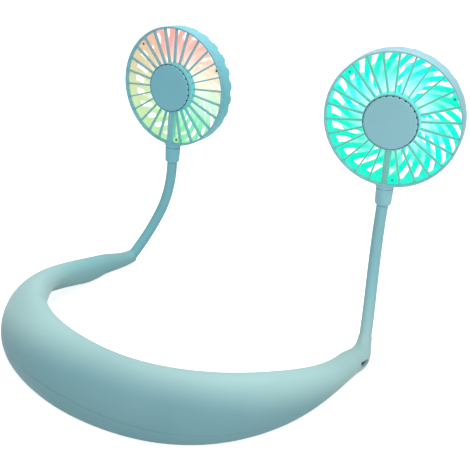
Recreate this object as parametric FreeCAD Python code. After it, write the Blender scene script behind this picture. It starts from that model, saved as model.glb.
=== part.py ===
import FreeCAD, Part
import math
import os

# A neck fan: a hollow U-shaped band, a bendable neck at each tip and a lit fan head on each neck.
# Millimetres. +X is the wearer's right, +Y is forward, +Z is up. The origin is on the resting
# plane, under the middle of the band's back edge.

Vector = FreeCAD.Vector
UP = Vector(0, 0, 1)
SIDES = {"right": 1, "left": -1}

# Band: centre line of one half, from the middle of the back to the tip
BACK_HANDLE = 117.0
TIP_HANDLE = 34.0
TIP_X = 97.0
TIP_Y = 134.0
TOE_IN = 2.5
ARM_LIFT = 2.2
LIFT_SKEW = 1.5
LINE_STEPS = 400

# Band: share of the half length, width, thickness and downward tilt of the outer edge
BAND_SECTIONS = (
    (0.00, 38.5, 21.0, 44.0),
    (0.15, 38.0, 20.5, 47.0),
    (0.30, 37.0, 20.5, 50.0),
    (0.45, 33.5, 21.0, 52.0),
    (0.60, 27.0, 17.5, 54.0),
    (0.72, 20.0, 15.4, 54.0),
    (0.84, 15.0, 13.0, 50.0),
    (0.93, 13.6, 10.8, 45.0),
    (0.97, 12.0, 9.8, 43.0),
)
REST_FLAT = 0.5
BAND_WALL = 1.8
CAVITY_SHARE = 0.955
PASSAGE_SHARE = 0.935
CAVITY_SIDES = 8
BAND_FACETS = 16
BAND_RINGS = 14
PARTING_RISE = 0.45

# Band tips: where the necks come out
TIP_RING_RADIUS = 4.15
TIP_RISE = 2.4
EXIT_ANGLE = 42.0
SLEEVE_IN_TIP = 4.0
WIRE_PASSAGE = 2.0

# Band: inner pieces
CELL_SHARE = 0.21
CELL_LENGTH = 38.0
CELL_WIDTH = 20.0
CELL_HEIGHT = 7.0
CRADLE_RIB = 1.6
CRADLE_SPREAD = 12.0
BOARD_LENGTH = 28.0
BOARD_WIDTH = 18.0
BOARD_THICKNESS = 1.2
BOARD_DROP = 4.0
CHIP_SIZE = 6.0
CHIP_HEIGHT = 1.4
COIL_SIZE = 5.0
COIL_HEIGHT = 3.0
SOCKET_LENGTH = 4.0
SOCKET_HEIGHT = 2.6
WIRE_RADIUS = 0.8

# Charging port in the right tip, power button in the left tip, both in the outer side
PORT_SHARE = 0.925
PORT_WIDTH = 7.6
PORT_HEIGHT = 2.8
PORT_DEPTH = 5.0
PORT_SHELL = 0.4
PORT_RECESS = 0.7
PORT_CLEARANCE = 0.15
PORT_BOARD = 0.8
TONGUE_SHARE = 0.6
TONGUE_SETBACK = 1.0
BUTTON_SHARE = 0.90
BUTTON_LENGTH = 7.0
BUTTON_HEIGHT = 3.6
BUTTON_PROUD = 0.7
BUTTON_TRAVEL = 0.5
BUTTON_THICKNESS = 2.2
BUTTON_CLEARANCE = 0.3
BUTTON_END_STEPS = 8
SWITCH_SIZE = 3.0
SWITCH_HEIGHT = 1.4
SWITCH_BOARD_LENGTH = 7.0
SWITCH_BOARD_HEIGHT = 3.6
SWITCH_BOARD = 0.8

# Necks: soft sleeve, bendable core and wire pair
SLEEVE_RADIUS = 3.55
SLEEVE_BORE = 2.5
SLEEVE_FIT = 0.1
SLEEVE_IN_COLLAR = 5.0
CORE_RADIUS = 0.8
CORE_OFFSET = 0.9
LEAD_RADIUS = 0.7
LEAD_OFFSET = 0.95
ARC_SHARE = 0.45
ARC_STEPS = 3
SLEEVE_SIDES = 12
BORE_SIDES = 6
WIRE_SIDES = 4

# Head poses as worn: centre of the rim plane, facing, tilt, roll, first and last run of the neck
HEAD_CENTRE = {"right": Vector(78.3, 181.8, 129.9), "left": Vector(-80.4, 169.5, 126.0)}
HEAD_FACING = {"right": 15.2, "left": 7.9}
HEAD_TILT = {"right": -3.0, "left": 2.5}
HEAD_ROLL = {"right": 1.8, "left": 3.7}
NECK_FIRST_RUN = {"right": 3.0, "left": 18.0}
NECK_LAST_RUN = {"right": 20.0, "left": 18.0}

# Fan head: z is 0 at the rim plane and points out of the grille
HEAD_RADIUS = 40.0
HEAD_WALL = 1.5
HEAD_DEPTH = 17.5
RIM_DEPTH = 3.0
BACK_THICKNESS = 1.6
CORNER_DEPTH = 4.0
CORNER_WIDTH = 4.5
RIM_SIDES = 52

# Front grille
SPOKES = 26
SPOKE_WIDTH = 1.0
SPOKE_DEPTH = 2.7
SPOKE_SETBACK = 0.3
RIB_WIDTH = 3.6
SPOKE_ROOT = 0.6
HUB_RADIUS = 16.5
HUB_WALL = 1.3
HUB_DEPTH = 4.0
HUB_SIDES = 26
HUB_PROUD = 3.1
HUB_RECESS = 4.5
HUB_PLATE = 1.2

# Rear swirl slots
SLOT_SHARE = 0.45
SLOT_TWIST = 0.8
SLOT_HUB_GAP = 0.5
SLOT_BEND_SHARE = 0.675
SLOT_RISE = 3.5
CUT_OVERSHOOT = 1.5

# Posts that join the grille to the housing, in gaps between spokes
POST_GAPS = (0.5, 8.5, 16.5)
POST_INSET = 3.4
POST_RADIUS = 2.2
POST_SIDES = 6

# Motor, light ring and impeller
MOTOR_RADIUS = 10.5
MOTOR_LENGTH = 5.0
MOTOR_SIDES = 16
SHAFT_RADIUS = 0.75
SHAFT_CLEARANCE = 0.05
SHAFT_IN_MOTOR = 3.6
SHAFT_SIDES = 12
LED_BOARD_THICKNESS = 1.0
LED_BOARD_CLEARANCE = 0.3
LEDS = 8
LED_SIZE = 2.0
LED_HEIGHT = 0.8
IMPELLER_GAP = 1.0
IMPELLER_INSET = 6.8
IMPELLER_HUB_RADIUS = 12.0
IMPELLER_DEPTH = 5.6
IMPELLER_WALL = 1.2
IMPELLER_BOSS = 2.4
BLADES = 9
IMPELLER_SIDES = 2 * BLADES
BLADE_SPAN = 33.0
BLADE_THICKNESS = 0.9
BLADE_PITCH = 14.0
BLADE_ROOT = 0.6
BLADE_ROOT_WIDTH = 8.0

# Scent cap and pad
CAP_RADIUS = 15.3
CAP_PROUD = 3.2
CAP_GAP = 0.35
CAP_WALL = 1.6
CAP_CHAMFER = 0.6
CAP_TOP = 1.2
CAP_SEAT = 0.3
CAP_SIDES = 26
CAP_NOTCHES = 26
NOTCH_WIDTH = 1.0
NOTCH_DEPTH = 0.8
PEG_RADIUS = 2.0
PEG_HEIGHT = 2.6
PEG_CLEARANCE = 0.3
PEG_SOCKET_WALL = 1.0
PEG_SIDES = 8
PAD_CLEARANCE = 0.6
PAD_THICKNESS = 1.8
PAD_SIDES = 16

# Boss and collar under the head
COLLAR_BACK = 6.0
BOSS_WIDTH = 13.8
BOSS_FOOT_RADIUS = 5.15
BOSS_LENGTH = 5.2
COLLAR_TOP_RADIUS = 5.35
COLLAR_FOOT_RADIUS = 4.95
COLLAR_LENGTH = 8.4
COLLAR_CHAMFER = 2.3
COLLAR_END_RADIUS = 4.1
COLLAR_SIDES = 14
BOSS_SIDES = 8
LEAD_HOLE_RADIUS = 1.3
LEAD_BEND = 4.5
LEAD_END_RADIUS = 13.0


def export(name, shape):
    shape.exportStep("parts/" + name + ".step")
    print(name, len(shape.Solids), round(shape.Volume, 1), shape.isValid())


def polar(radius, degrees, z=0.0):
    angle = math.radians(degrees)
    return Vector(radius * math.cos(angle), radius * math.sin(angle), z)


def polygon_face(points):
    return Part.Face(Part.makePolygon(points + points[:1]))


def ring_points(radius, sides, z=0.0):
    """Corners of a regular polygon with a flat side at the bottom."""
    return [polar(radius, -90.0 + (index + 0.5) * 360.0 / sides, z) for index in range(sides)]


def prism(points, rise):
    return polygon_face(points).extrude(Vector(0, 0, rise))


def solid_of(faces):
    solid = Part.makeSolid(Part.makeShell(faces))
    if solid.Volume < 0:
        solid.reverse()
    return solid


def skinned(rings, split=False):
    """A solid through rings of points, its sides flat quads, or triangles where they would be warped."""
    faces = [polygon_face(rings[0]), polygon_face(rings[-1])]
    count = len(rings[0])
    for near, far in zip(rings, rings[1:]):
        for first in range(count):
            last = (first + 1) % count
            if split:
                faces.append(polygon_face([near[first], near[last], far[last]]))
                faces.append(polygon_face([near[first], far[last], far[first]]))
            else:
                faces.append(polygon_face([near[first], near[last], far[last], far[first]]))
    return solid_of(faces)


def turned(profile, sides):
    """Turn a closed list of (radius, z) points about the z axis, with flat sides."""
    faces = []
    for (r0, z0), (r1, z1) in zip(profile, profile[1:] + profile[:1]):
        if r0 == r1 == 0:
            continue
        if z0 == z1:
            rings = [polygon_face(ring_points(radius, sides, z0)) for radius in (r0, r1) if radius > 0]
            rings.sort(key=lambda face: face.Area)
            faces.append(rings[0] if len(rings) == 1 else rings[1].cut(rings[0]).Faces[0])
            continue
        low, high = ring_points(r0, sides, z0), ring_points(r1, sides, z1)
        for first in range(sides):
            last = (first + 1) % sides
            faces.append(polygon_face([low[first], low[last], high[last], high[first]]))
    return solid_of(faces)


def mitred_tube(path, radius, sides):
    """A bar with flat sides along straight runs, mitred at each corner of the path."""
    way = (path[1] - path[0]).normalize()
    aside = way.cross(UP if abs(way.z) < 0.9 else Vector(1, 0, 0)).normalize()
    lift = aside.cross(way)
    corners = [polar(radius, 360.0 * (index + 0.5) / sides) for index in range(sides)]
    rings = [[path[0] + aside * corner.x + lift * corner.y for corner in corners]]
    for index in range(1, len(path)):
        way = (path[index] - path[index - 1]).normalize()
        after = (path[index + 1] - path[index]).normalize() if index + 1 < len(path) else way
        plane = (way + after).normalize()
        rate = 1 / way.dot(plane)
        rings.append([point + way * ((path[index] - point).dot(plane) * rate) for point in rings[-1]])
    return skinned(rings)


def rod(start, way, length, radius, sides):
    return mitred_tube([start, start + way * length], radius, sides)


def block(x0, x1, y0, y1, z0, z1):
    return Part.makeBox(x1 - x0, y1 - y0, z1 - z0, Vector(x0, y0, z0))


def frame_placement(origin, y_axis, z_axis):
    x_axis = y_axis.cross(z_axis)
    matrix = FreeCAD.Matrix(
        x_axis.x, y_axis.x, z_axis.x, origin.x,
        x_axis.y, y_axis.y, z_axis.y, origin.y,
        x_axis.z, y_axis.z, z_axis.z, origin.z,
        0, 0, 0, 1,
    )
    return FreeCAD.Placement(matrix)


def placed(shape, placement):
    copy = shape.copy()
    copy.Placement = placement.multiply(copy.Placement)
    return copy


# Band geometry


def centre_line():
    """Points of the right half's centre line in plan, evenly spaced along it."""
    toe = math.radians(TOE_IN)
    heading = Vector(-math.sin(toe), math.cos(toe), 0)
    tip = Vector(TIP_X, TIP_Y, 0)
    curve = Part.BezierCurve()
    curve.setPoles([Vector(0, 0, 0), Vector(BACK_HANDLE, 0, 0), tip - heading * TIP_HANDLE, tip])
    return curve.discretize(LINE_STEPS + 1)


CENTRE_LINE = centre_line()


def section_curve():
    """Width, thickness and tilt as one smooth curve over the share, alike on both halves."""
    rows = [(-row[0],) + row[1:] for row in reversed(BAND_SECTIONS[1:])] + list(BAND_SECTIONS)
    curve = Part.BSplineCurve()
    curve.interpolate(Points=[Vector(*row[1:]) for row in rows], Parameters=[row[0] for row in rows])
    return curve


SECTION_CURVE = section_curve()


def section_sizes(share):
    """Width, thickness and tilt at a share of the half length."""
    sizes = SECTION_CURVE.value(min(share, BAND_SECTIONS[-1][0]))
    return sizes.x, sizes.y, sizes.z


def line_point(share):
    width, thickness, tilt = section_sizes(share)
    angle = math.radians(tilt)
    half_height = math.hypot(width / 2 * math.sin(angle), thickness / 2 * math.cos(angle))
    point = Vector(CENTRE_LINE[round(share * LINE_STEPS)])
    lift = ARM_LIFT * math.sin(math.pi * share ** LIFT_SKEW)
    point.z = half_height + lift - REST_FLAT
    point.y += half_back()
    return point


def half_back():
    """Distance from the resting line to the centre line at the middle of the back."""
    share, width, thickness, tilt = BAND_SECTIONS[0]
    angle = math.radians(tilt)
    a, b = width / 2, thickness / 2
    half_height = math.hypot(a * math.sin(angle), b * math.cos(angle))
    return (a * a - b * b) * math.sin(angle) * math.cos(angle) / half_height


class Station:
    """A cross section of the band: its centre and its directions along, outward, broad and thin."""

    def __init__(self, share, side=1):
        width, thickness, tilt = section_sizes(share)
        step = 2.0 / LINE_STEPS
        ahead = line_point(min(share + step, 1.0))
        behind = line_point(max(share - step, 0.0))
        self.along = ahead - behind
        if share < step:
            self.along = Vector(1, 0, 0)
        self.along.normalize()
        self.centre = line_point(share)
        self.outward = Vector(self.along.y, -self.along.x, 0).normalize()
        self.upward = self.outward.cross(self.along)
        angle = math.radians(tilt)
        self.broad = self.outward * math.cos(angle) - self.upward * math.sin(angle)
        self.thin = self.outward * math.sin(angle) + self.upward * math.cos(angle)
        self.half_width = width / 2
        self.half_thickness = thickness / 2
        if side < 0:
            for name in ("centre", "along", "outward", "upward", "broad", "thin"):
                vector = getattr(self, name)
                setattr(self, name, Vector(-vector.x, vector.y, vector.z))

    def at(self, broad, thin):
        return self.centre + self.broad * broad + self.thin * thin

    def oval(self, inset, sides):
        broad = self.broad * (self.half_width - inset)
        thin = self.thin * (self.half_thickness - inset)
        return oval_points(self.centre, broad, thin, sides)

    def placement(self, broad=0.0, thin=0.0):
        """x along the band, y towards the outer edge, z towards the top side."""
        return frame_placement(self.at(broad, thin), self.broad, self.thin)

    def side_placement(self, reach):
        """x along the band, y up, z outward, with the origin that far out from the centre."""
        return frame_placement(self.centre + self.outward * reach, self.upward, self.outward)

    def reach_out(self):
        """Distance from the centre to the outer surface, straight outward."""
        across = self.broad.dot(self.outward) / self.half_width
        through = self.thin.dot(self.outward) / self.half_thickness
        return 1 / math.hypot(across, through)


def tip_exit(side):
    """Centre and direction of the ring that a neck comes out of."""
    station = Station(1.0, side)
    angle = math.radians(EXIT_ANGLE)
    heading = Vector(station.along.x, station.along.y, 0).normalize()
    direction = heading * math.cos(angle) + UP * math.sin(angle)
    return line_point_at_tip(side) + UP * TIP_RISE, direction


def line_point_at_tip(side):
    point = line_point(1.0)
    return Vector(point.x * side, point.y, point.z)


def oval_points(centre, broad, thin, sides):
    """Points round an oval with the given half axes."""
    angles = [2 * math.pi * (index + 0.5) / sides for index in range(sides)]
    return [centre + broad * math.cos(angle) + thin * math.sin(angle) for angle in angles]


def tip_axes(side):
    """Broad and thin directions of the tip ring, square to the way the neck goes."""
    station = Station(BAND_SECTIONS[-1][0], side)
    direction = tip_exit(side)[1]
    broad = (station.broad - direction * station.broad.dot(direction)).normalize()
    thin = direction.cross(broad)
    return broad, thin if thin.dot(station.thin) > 0 else thin * -1


def tip_ring(side):
    centre = tip_exit(side)[0]
    broad, thin = tip_axes(side)
    return oval_points(centre, broad * TIP_RING_RADIUS, thin * TIP_RING_RADIUS, BAND_FACETS)


def band_stations(rings, limit):
    """Evenly spaced stations from near the left tip round the back to near the right tip."""
    shares = [limit * index / rings for index in range(rings + 1)]
    left = [Station(share, -1) for share in reversed(shares[1:])]
    return left + [Station(share) for share in shares]


def band_outer():
    rings = [station.oval(0, BAND_FACETS) for station in band_stations(BAND_RINGS, BAND_SECTIONS[-1][0])]
    solid = skinned([tip_ring(-1)] + rings + [tip_ring(1)], split=True)
    box = solid.BoundBox
    under = block(box.XMin - CUT_OVERSHOOT, box.XMax + CUT_OVERSHOOT, box.YMin - CUT_OVERSHOOT,
                  box.YMax + CUT_OVERSHOOT, box.ZMin - CUT_OVERSHOOT, 0)
    return solid.cut(under)


def band_cavity(inset):
    stations = band_stations(BAND_RINGS // 2, CAVITY_SHARE)
    return skinned([station.oval(inset, CAVITY_SIDES) for station in stations], split=True)


def parting_ring(centre, broad, thin, half_width, half_thickness):
    """Corners of the upper shell's side of the parting surface."""
    reach = half_width + BAND_WALL * 2
    top = half_thickness + BAND_WALL * 2
    outer = half_thickness * PARTING_RISE
    return [
        centre - broad * reach,
        centre + broad * reach + thin * outer,
        centre + broad * reach + thin * top,
        centre - broad * reach + thin * top,
    ]


def upper_side():
    rings = []
    for station in band_stations(BAND_RINGS // 2, BAND_SECTIONS[-1][0]):
        rings.append(parting_ring(station.centre, station.broad, station.thin,
                                  station.half_width, station.half_thickness))
    for side, place in ((-1, 0), (1, len(rings) + 1)):
        centre, direction = tip_exit(side)
        broad, thin = tip_axes(side)
        beyond = centre + direction * BAND_WALL
        rings.insert(place, parting_ring(beyond, broad, thin, TIP_RING_RADIUS, TIP_RING_RADIUS))
    return skinned(rings, split=True)


def neck_hole(side):
    """Bore for the sleeve and passage for its wires, from the tip ring into the cavity."""
    centre, direction = tip_exit(side)
    deep = centre - direction * SLEEVE_IN_TIP
    bore = rod(deep, direction, SLEEVE_IN_TIP * 2, SLEEVE_RADIUS + SLEEVE_FIT, SLEEVE_SIDES)
    inside = Station(PASSAGE_SHARE, side).centre
    passage = mitred_tube([inside, deep], WIRE_PASSAGE, BORE_SIDES)
    return bore.fuse(passage)


def cell_placement(side):
    return Station(CELL_SHARE, side).placement(0, 0)


def cell():
    return block(-CELL_LENGTH / 2, CELL_LENGTH / 2, -CELL_WIDTH / 2, CELL_WIDTH / 2,
                 -CELL_HEIGHT / 2, CELL_HEIGHT / 2)


def cradle(placement, spread, half_width, seat):
    """Two ribs square to the band, up to a flat seat."""
    ribs = []
    for offset in (-spread, spread):
        rib = block(offset - CRADLE_RIB / 2, offset + CRADLE_RIB / 2, -half_width, half_width,
                    -half_width, seat)
        ribs.append(placed(rib, placement))
    return ribs


def stadium(length, height, z0, z1):
    """A bar with rounded ends in the x-y plane."""
    radius = height / 2
    reach = length / 2 - radius
    steps = range(BUTTON_END_STEPS + 1)
    turn = 180.0 / BUTTON_END_STEPS
    right = [polar(radius, -90.0 + turn * step, z0) + Vector(reach, 0, 0) for step in steps]
    left = [polar(radius, 90.0 + turn * step, z0) - Vector(reach, 0, 0) for step in steps]
    return prism(right + left, z1 - z0)


def port_place():
    station = Station(PORT_SHARE)
    return station.side_placement(station.reach_out() - PORT_RECESS)


def port_opening():
    width = PORT_WIDTH / 2 + PORT_CLEARANCE
    height = PORT_HEIGHT / 2 + PORT_CLEARANCE
    mouth = block(-width, width, -height, height, -PORT_DEPTH, PORT_DEPTH)
    pocket = block(-width, width, -height - PORT_BOARD, 0, -PORT_DEPTH, -PORT_RECESS * 2)
    return placed(mouth.fuse(pocket), port_place())


def usb_port():
    width, height = PORT_WIDTH / 2, PORT_HEIGHT / 2
    body = block(-width, width, -height, height, -PORT_DEPTH, 0)
    mouth = block(-width + PORT_SHELL, width - PORT_SHELL, -height + PORT_SHELL, height - PORT_SHELL,
                  -PORT_DEPTH + PORT_SHELL, PORT_SHELL)
    reach = width * TONGUE_SHARE
    tongue = block(-reach, reach, -PORT_SHELL, PORT_SHELL, -PORT_DEPTH + PORT_SHELL / 2, -TONGUE_SETBACK)
    return placed(body.cut(mouth).fuse(tongue), port_place())


def usb_board():
    width, height = PORT_WIDTH / 2, PORT_HEIGHT / 2
    board = block(-width, width, -height - PORT_BOARD, -height, -PORT_DEPTH, -PORT_RECESS * 2)
    return placed(board, port_place())


def button_place():
    """On the left tip: z outward, z 0 at the band's surface."""
    station = Station(BUTTON_SHARE, -1)
    return station.side_placement(station.reach_out())


BUTTON_BACK = BUTTON_PROUD - BUTTON_THICKNESS
SWITCH_FACE = BUTTON_BACK - BUTTON_TRAVEL - BUTTON_CLEARANCE
SWITCH_BACK = SWITCH_FACE - SWITCH_HEIGHT
SWITCH_BOARD_BACK = SWITCH_BACK - SWITCH_BOARD


def button_opening():
    opening = stadium(BUTTON_LENGTH + 2 * BUTTON_CLEARANCE, BUTTON_HEIGHT + 2 * BUTTON_CLEARANCE,
                      SWITCH_FACE, BUTTON_PROUD * 4)
    board = block(-SWITCH_BOARD_LENGTH / 2, SWITCH_BOARD_LENGTH / 2, -SWITCH_BOARD_HEIGHT / 2,
                  SWITCH_BOARD_HEIGHT / 2, SWITCH_BOARD_BACK, SWITCH_FACE)
    return placed(opening.fuse(board), button_place())


def button_stand():
    """Post behind the switch board, cut to the shell's inside later."""
    half = SWITCH_SIZE / 2
    return placed(block(-half, half, -half, 0, -HEAD_DEPTH, SWITCH_BOARD_BACK), button_place())


def power_button():
    return placed(stadium(BUTTON_LENGTH, BUTTON_HEIGHT, BUTTON_BACK, BUTTON_PROUD), button_place())


def button_switch():
    half = SWITCH_SIZE / 2
    body = block(-half, half, -half, half, SWITCH_BACK, SWITCH_FACE)
    plunger = block(-half / 2, half / 2, -half / 2, half / 2, SWITCH_FACE, SWITCH_FACE + BUTTON_CLEARANCE)
    return placed(body.fuse(plunger), button_place())


def button_board():
    length, height = SWITCH_BOARD_LENGTH / 2, SWITCH_BOARD_HEIGHT / 2
    return placed(block(-length, length, -height, height, SWITCH_BOARD_BACK, SWITCH_BACK), button_place())


def board_placement():
    return Station(0.0).placement(0, -BOARD_DROP)


def main_board():
    half_length, half_width = BOARD_LENGTH / 2, BOARD_WIDTH / 2
    board = block(-half_length, half_length, -half_width, half_width, 0, BOARD_THICKNESS)
    return placed(board, board_placement())


def board_parts():
    top = BOARD_THICKNESS
    edge = BOARD_LENGTH / 2
    chip = block(-CHIP_SIZE, 0, -CHIP_SIZE / 2, CHIP_SIZE / 2, top, top + CHIP_HEIGHT)
    coil = block(COIL_SIZE / 2, COIL_SIZE * 1.5, -COIL_SIZE / 2, COIL_SIZE / 2, top, top + COIL_HEIGHT)
    pieces = [chip, coil]
    for x in (-edge, edge - SOCKET_LENGTH):
        socket = block(x, x + SOCKET_LENGTH, -BOARD_WIDTH / 2, -BOARD_WIDTH / 2 + SOCKET_LENGTH,
                       top, top + SOCKET_HEIGHT)
        pieces.append(socket)
    return placed(Part.makeCompound(pieces), board_placement())


def main_solid(shape):
    """The largest solid, without chips of an inner rib on the far side of the parting surface."""
    return max(shape.Solids, key=lambda solid: solid.Volume)


def build_shells():
    body = band_outer().cut(band_cavity(BAND_WALL))
    inner = cradle(board_placement(), BOARD_LENGTH / 2 - CRADLE_RIB, BAND_SECTIONS[0][1] / 2, 0)
    for side in SIDES.values():
        inner += cradle(cell_placement(side), CRADLE_SPREAD, BAND_SECTIONS[0][1] / 2, -CELL_HEIGHT / 2)
    inner.append(button_stand())
    within = band_cavity(BAND_WALL / 2)
    body = body.multiFuse([piece.common(within) for piece in inner])
    holes = [neck_hole(side) for side in SIDES.values()]
    holes += [port_opening(), button_opening()]
    body = body.cut(Part.makeCompound(holes))
    upper = upper_side()
    return main_solid(body.common(upper)), main_solid(body.cut(upper))


# Necks


def rounded(points):
    """A route whose corners are replaced by points on tangent arcs."""
    path = [points[0]]
    for before, corner, after in zip(points, points[1:], points[2:]):
        back = (before - corner).normalize()
        ahead = (after - corner).normalize()
        cut = ARC_SHARE * min((before - corner).Length, (after - corner).Length)
        half_turn = (math.pi - back.getAngle(ahead)) / 2
        radius = cut / math.tan(half_turn)
        middle = corner + (back + ahead).normalize() * (radius / math.cos(half_turn) - radius)
        arc = Part.Arc(corner + back * cut, middle, corner + ahead * cut)
        path += arc.toShape().discretize(ARC_STEPS + 1)
    return path + [points[-1]]


def neck_points(side_name):
    side = SIDES[side_name]
    exit_point, exit_way = tip_exit(side)
    placement = head_placement(side_name)
    foot = placement.multVec(Vector(0, COLLAR_FOOT_Y, -COLLAR_BACK))
    way = placement.Rotation.multVec(Vector(0, 1, 0))
    return [
        exit_point - exit_way * SLEEVE_IN_TIP,
        exit_point + exit_way * NECK_FIRST_RUN[side_name],
        foot - way * NECK_LAST_RUN[side_name],
        foot + way * SLEEVE_IN_COLLAR,
    ]


def neck_pieces(side_name):
    points = neck_points(side_name)
    path = rounded(points)
    length = sum((after - before).Length for before, after in zip(path, path[1:]))
    print(side_name, "neck length", round(length, 1))
    print(side_name, "neck route", [[round(value, 2) for value in point] for point in points])
    sleeve = mitred_tube(path, SLEEVE_RADIUS, SLEEVE_SIDES).cut(mitred_tube(path, SLEEVE_BORE, BORE_SIDES))
    first = points[1] - points[0]
    last = points[-1] - points[-2]
    aside = first.cross(last).normalize()
    core = mitred_tube([point - aside * CORE_OFFSET for point in path], CORE_RADIUS, WIRE_SIDES)
    lead = mitred_tube([point + aside * LEAD_OFFSET for point in path], LEAD_RADIUS, WIRE_SIDES)
    return {"neck_sleeve": sleeve, "neck_core": core, "neck_lead": lead}


def harness(side_name):
    """Wire pair from the main board to the neck, along the inner side of the cavity."""
    side = SIDES[side_name]
    exit_point, exit_way = tip_exit(side)
    edge = BOARD_LENGTH / 2
    socket_y = -BOARD_WIDTH / 2 + SOCKET_LENGTH / 2
    start = Vector(-side * (edge + WIRE_RADIUS), socket_y, BOARD_THICKNESS + SOCKET_HEIGHT / 2)
    points = [board_placement().multVec(start)]
    for share, broad, thin in HARNESS_WAY:
        points.append(Station(share, side).at(broad, thin))
    points.append(exit_point - exit_way * (SLEEVE_IN_TIP + WIRE_RADIUS))
    return mitred_tube(points, WIRE_RADIUS, WIRE_SIDES)


# Route of the harness: share of the half length, offsets along the broad and thin directions
HARNESS_WAY = (
    (0.12, -13.0, 1.5),
    (0.24, -13.0, 1.5),
    (0.36, -11.0, 1.5),
    (0.48, -8.5, 1.0),
    (0.60, -6.5, 1.0),
    (0.72, -5.0, 0.5),
    (0.84, -2.5, 0.0),
    (0.92, -1.5, 0.5),
)


# Fan head, in its own frame


BACK_Z = -HEAD_DEPTH
BACK_INNER_Z = BACK_Z + BACK_THICKNESS
PARTING_Z = -RIM_DEPTH
OPENING_RADIUS = HEAD_RADIUS - HEAD_WALL
PITCH = 360.0 / SPOKES
HUB_INNER_RADIUS = HUB_RADIUS - HUB_WALL
POST_CIRCLE = HEAD_RADIUS - POST_INSET
IMPELLER_RADIUS = HEAD_RADIUS - IMPELLER_INSET
SLOT_INNER_RADIUS = HUB_RADIUS + SLOT_HUB_GAP
SLOT_BEND_RADIUS = HEAD_RADIUS * SLOT_BEND_SHARE
PLATE_Z = HUB_PROUD - HUB_RECESS
PLATE_BACK_Z = PLATE_Z - HUB_PLATE
LED_BACK_Z = PLATE_BACK_Z - LED_BOARD_THICKNESS
MOTOR_BACK_Z = PLATE_BACK_Z - MOTOR_LENGTH
IMPELLER_FRONT_Z = MOTOR_BACK_Z - IMPELLER_GAP
IMPELLER_BACK_Z = IMPELLER_FRONT_Z - IMPELLER_DEPTH
CAP_FOOT_Z = PLATE_Z + CAP_SEAT
BOSS_FOOT_Y = -HEAD_RADIUS - BOSS_LENGTH
COLLAR_FOOT_Y = BOSS_FOOT_Y - COLLAR_LENGTH - COLLAR_CHAMFER
LEAD_Z = -HUB_DEPTH - LEAD_RADIUS


def head_placement(side_name):
    facing = math.radians(HEAD_FACING[side_name])
    tilt = math.radians(HEAD_TILT[side_name])
    roll = math.radians(HEAD_ROLL[side_name])
    normal = Vector(math.sin(facing) * math.cos(tilt), -math.cos(facing) * math.cos(tilt), math.sin(tilt))
    level = Vector(math.cos(facing), math.sin(facing), 0)
    rise = normal.cross(level)
    up = rise * math.cos(roll) + level * math.sin(roll)
    return frame_placement(HEAD_CENTRE[side_name], up, normal)


def spoke_angle(index):
    return -90.0 + PITCH * index


def bar(angle, inner, outer, width, z0, z1):
    """A straight bar that points outward at an angle."""
    shape = block(inner, outer, -width / 2, width / 2, z0, z1)
    shape.rotate(Vector(0, 0, 0), UP, angle)
    return shape


def posts(z0, z1):
    points = [polar(POST_CIRCLE, spoke_angle(gap), z0) for gap in POST_GAPS]
    return [rod(point, UP, z1 - z0, POST_RADIUS, POST_SIDES) for point in points]


def front_grille():
    rim = turned([
        (OPENING_RADIUS, PARTING_Z), (HEAD_RADIUS, PARTING_Z), (HEAD_RADIUS, 0), (OPENING_RADIUS, 0),
    ], RIM_SIDES)
    lip_radius = CAP_RADIUS + CAP_GAP
    drum = turned([
        (0, PLATE_BACK_Z), (HUB_INNER_RADIUS, PLATE_BACK_Z), (HUB_INNER_RADIUS, -HUB_DEPTH),
        (HUB_RADIUS, -HUB_DEPTH), (HUB_RADIUS, HUB_PROUD), (lip_radius, HUB_PROUD),
        (lip_radius, PLATE_Z), (0, PLATE_Z),
    ], HUB_SIDES)
    peg = prism(ring_points(PEG_RADIUS, PEG_SIDES, PLATE_Z), PEG_HEIGHT)
    reach = (OPENING_RADIUS + HEAD_RADIUS) / 2
    front = -SPOKE_SETBACK
    back = front - SPOKE_DEPTH
    bars = [bar(spoke_angle(index), HUB_RADIUS - SPOKE_ROOT, reach, SPOKE_WIDTH, back, front)
            for index in range(1, SPOKES)]
    bars.append(bar(spoke_angle(0), HUB_RADIUS - SPOKE_ROOT, reach, RIB_WIDTH, back, front))
    return rim.multiFuse([drum, peg] + bars + posts(PARTING_Z, front)).removeSplitter()


def slot_cut(index):
    """One swirl slot of the back, from the plain centre out through the corner."""
    half = SLOT_SHARE * PITCH / 2
    middle = spoke_angle(index)
    reach = HEAD_RADIUS + CUT_OVERSHOOT
    near, far = [], []
    for radius in (SLOT_INNER_RADIUS, SLOT_BEND_RADIUS, reach):
        angle = middle - math.degrees(SLOT_TWIST * math.log(radius / POST_CIRCLE))
        near.append(polar(radius, angle - half, BACK_Z - CUT_OVERSHOOT))
        far.append(polar(radius, angle + half, BACK_Z - CUT_OVERSHOOT))
    return prism(near + far[::-1], CUT_OVERSHOOT + SLOT_RISE)


def boss():
    """Stub under the head, from the side wall down to the collar."""
    foot = Vector(0, BOSS_FOOT_Y, -COLLAR_BACK)
    top = Vector(0, -OPENING_RADIUS, -COLLAR_BACK)
    depth = Vector(0, 0, BOSS_FOOT_RADIUS)
    stub = skinned([
        oval_points(top, Vector(BOSS_WIDTH / 2, 0, 0), depth, BOSS_SIDES),
        oval_points(foot, Vector(BOSS_FOOT_RADIUS, 0, 0), depth, BOSS_SIDES),
    ], split=True)
    inside = prism(ring_points(OPENING_RADIUS, SPOKES, BACK_Z), HEAD_DEPTH)
    ring_room = prism(ring_points(HEAD_RADIUS, RIM_SIDES, PARTING_Z), HEAD_DEPTH)
    return stub.cut(inside).cut(ring_room)


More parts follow.
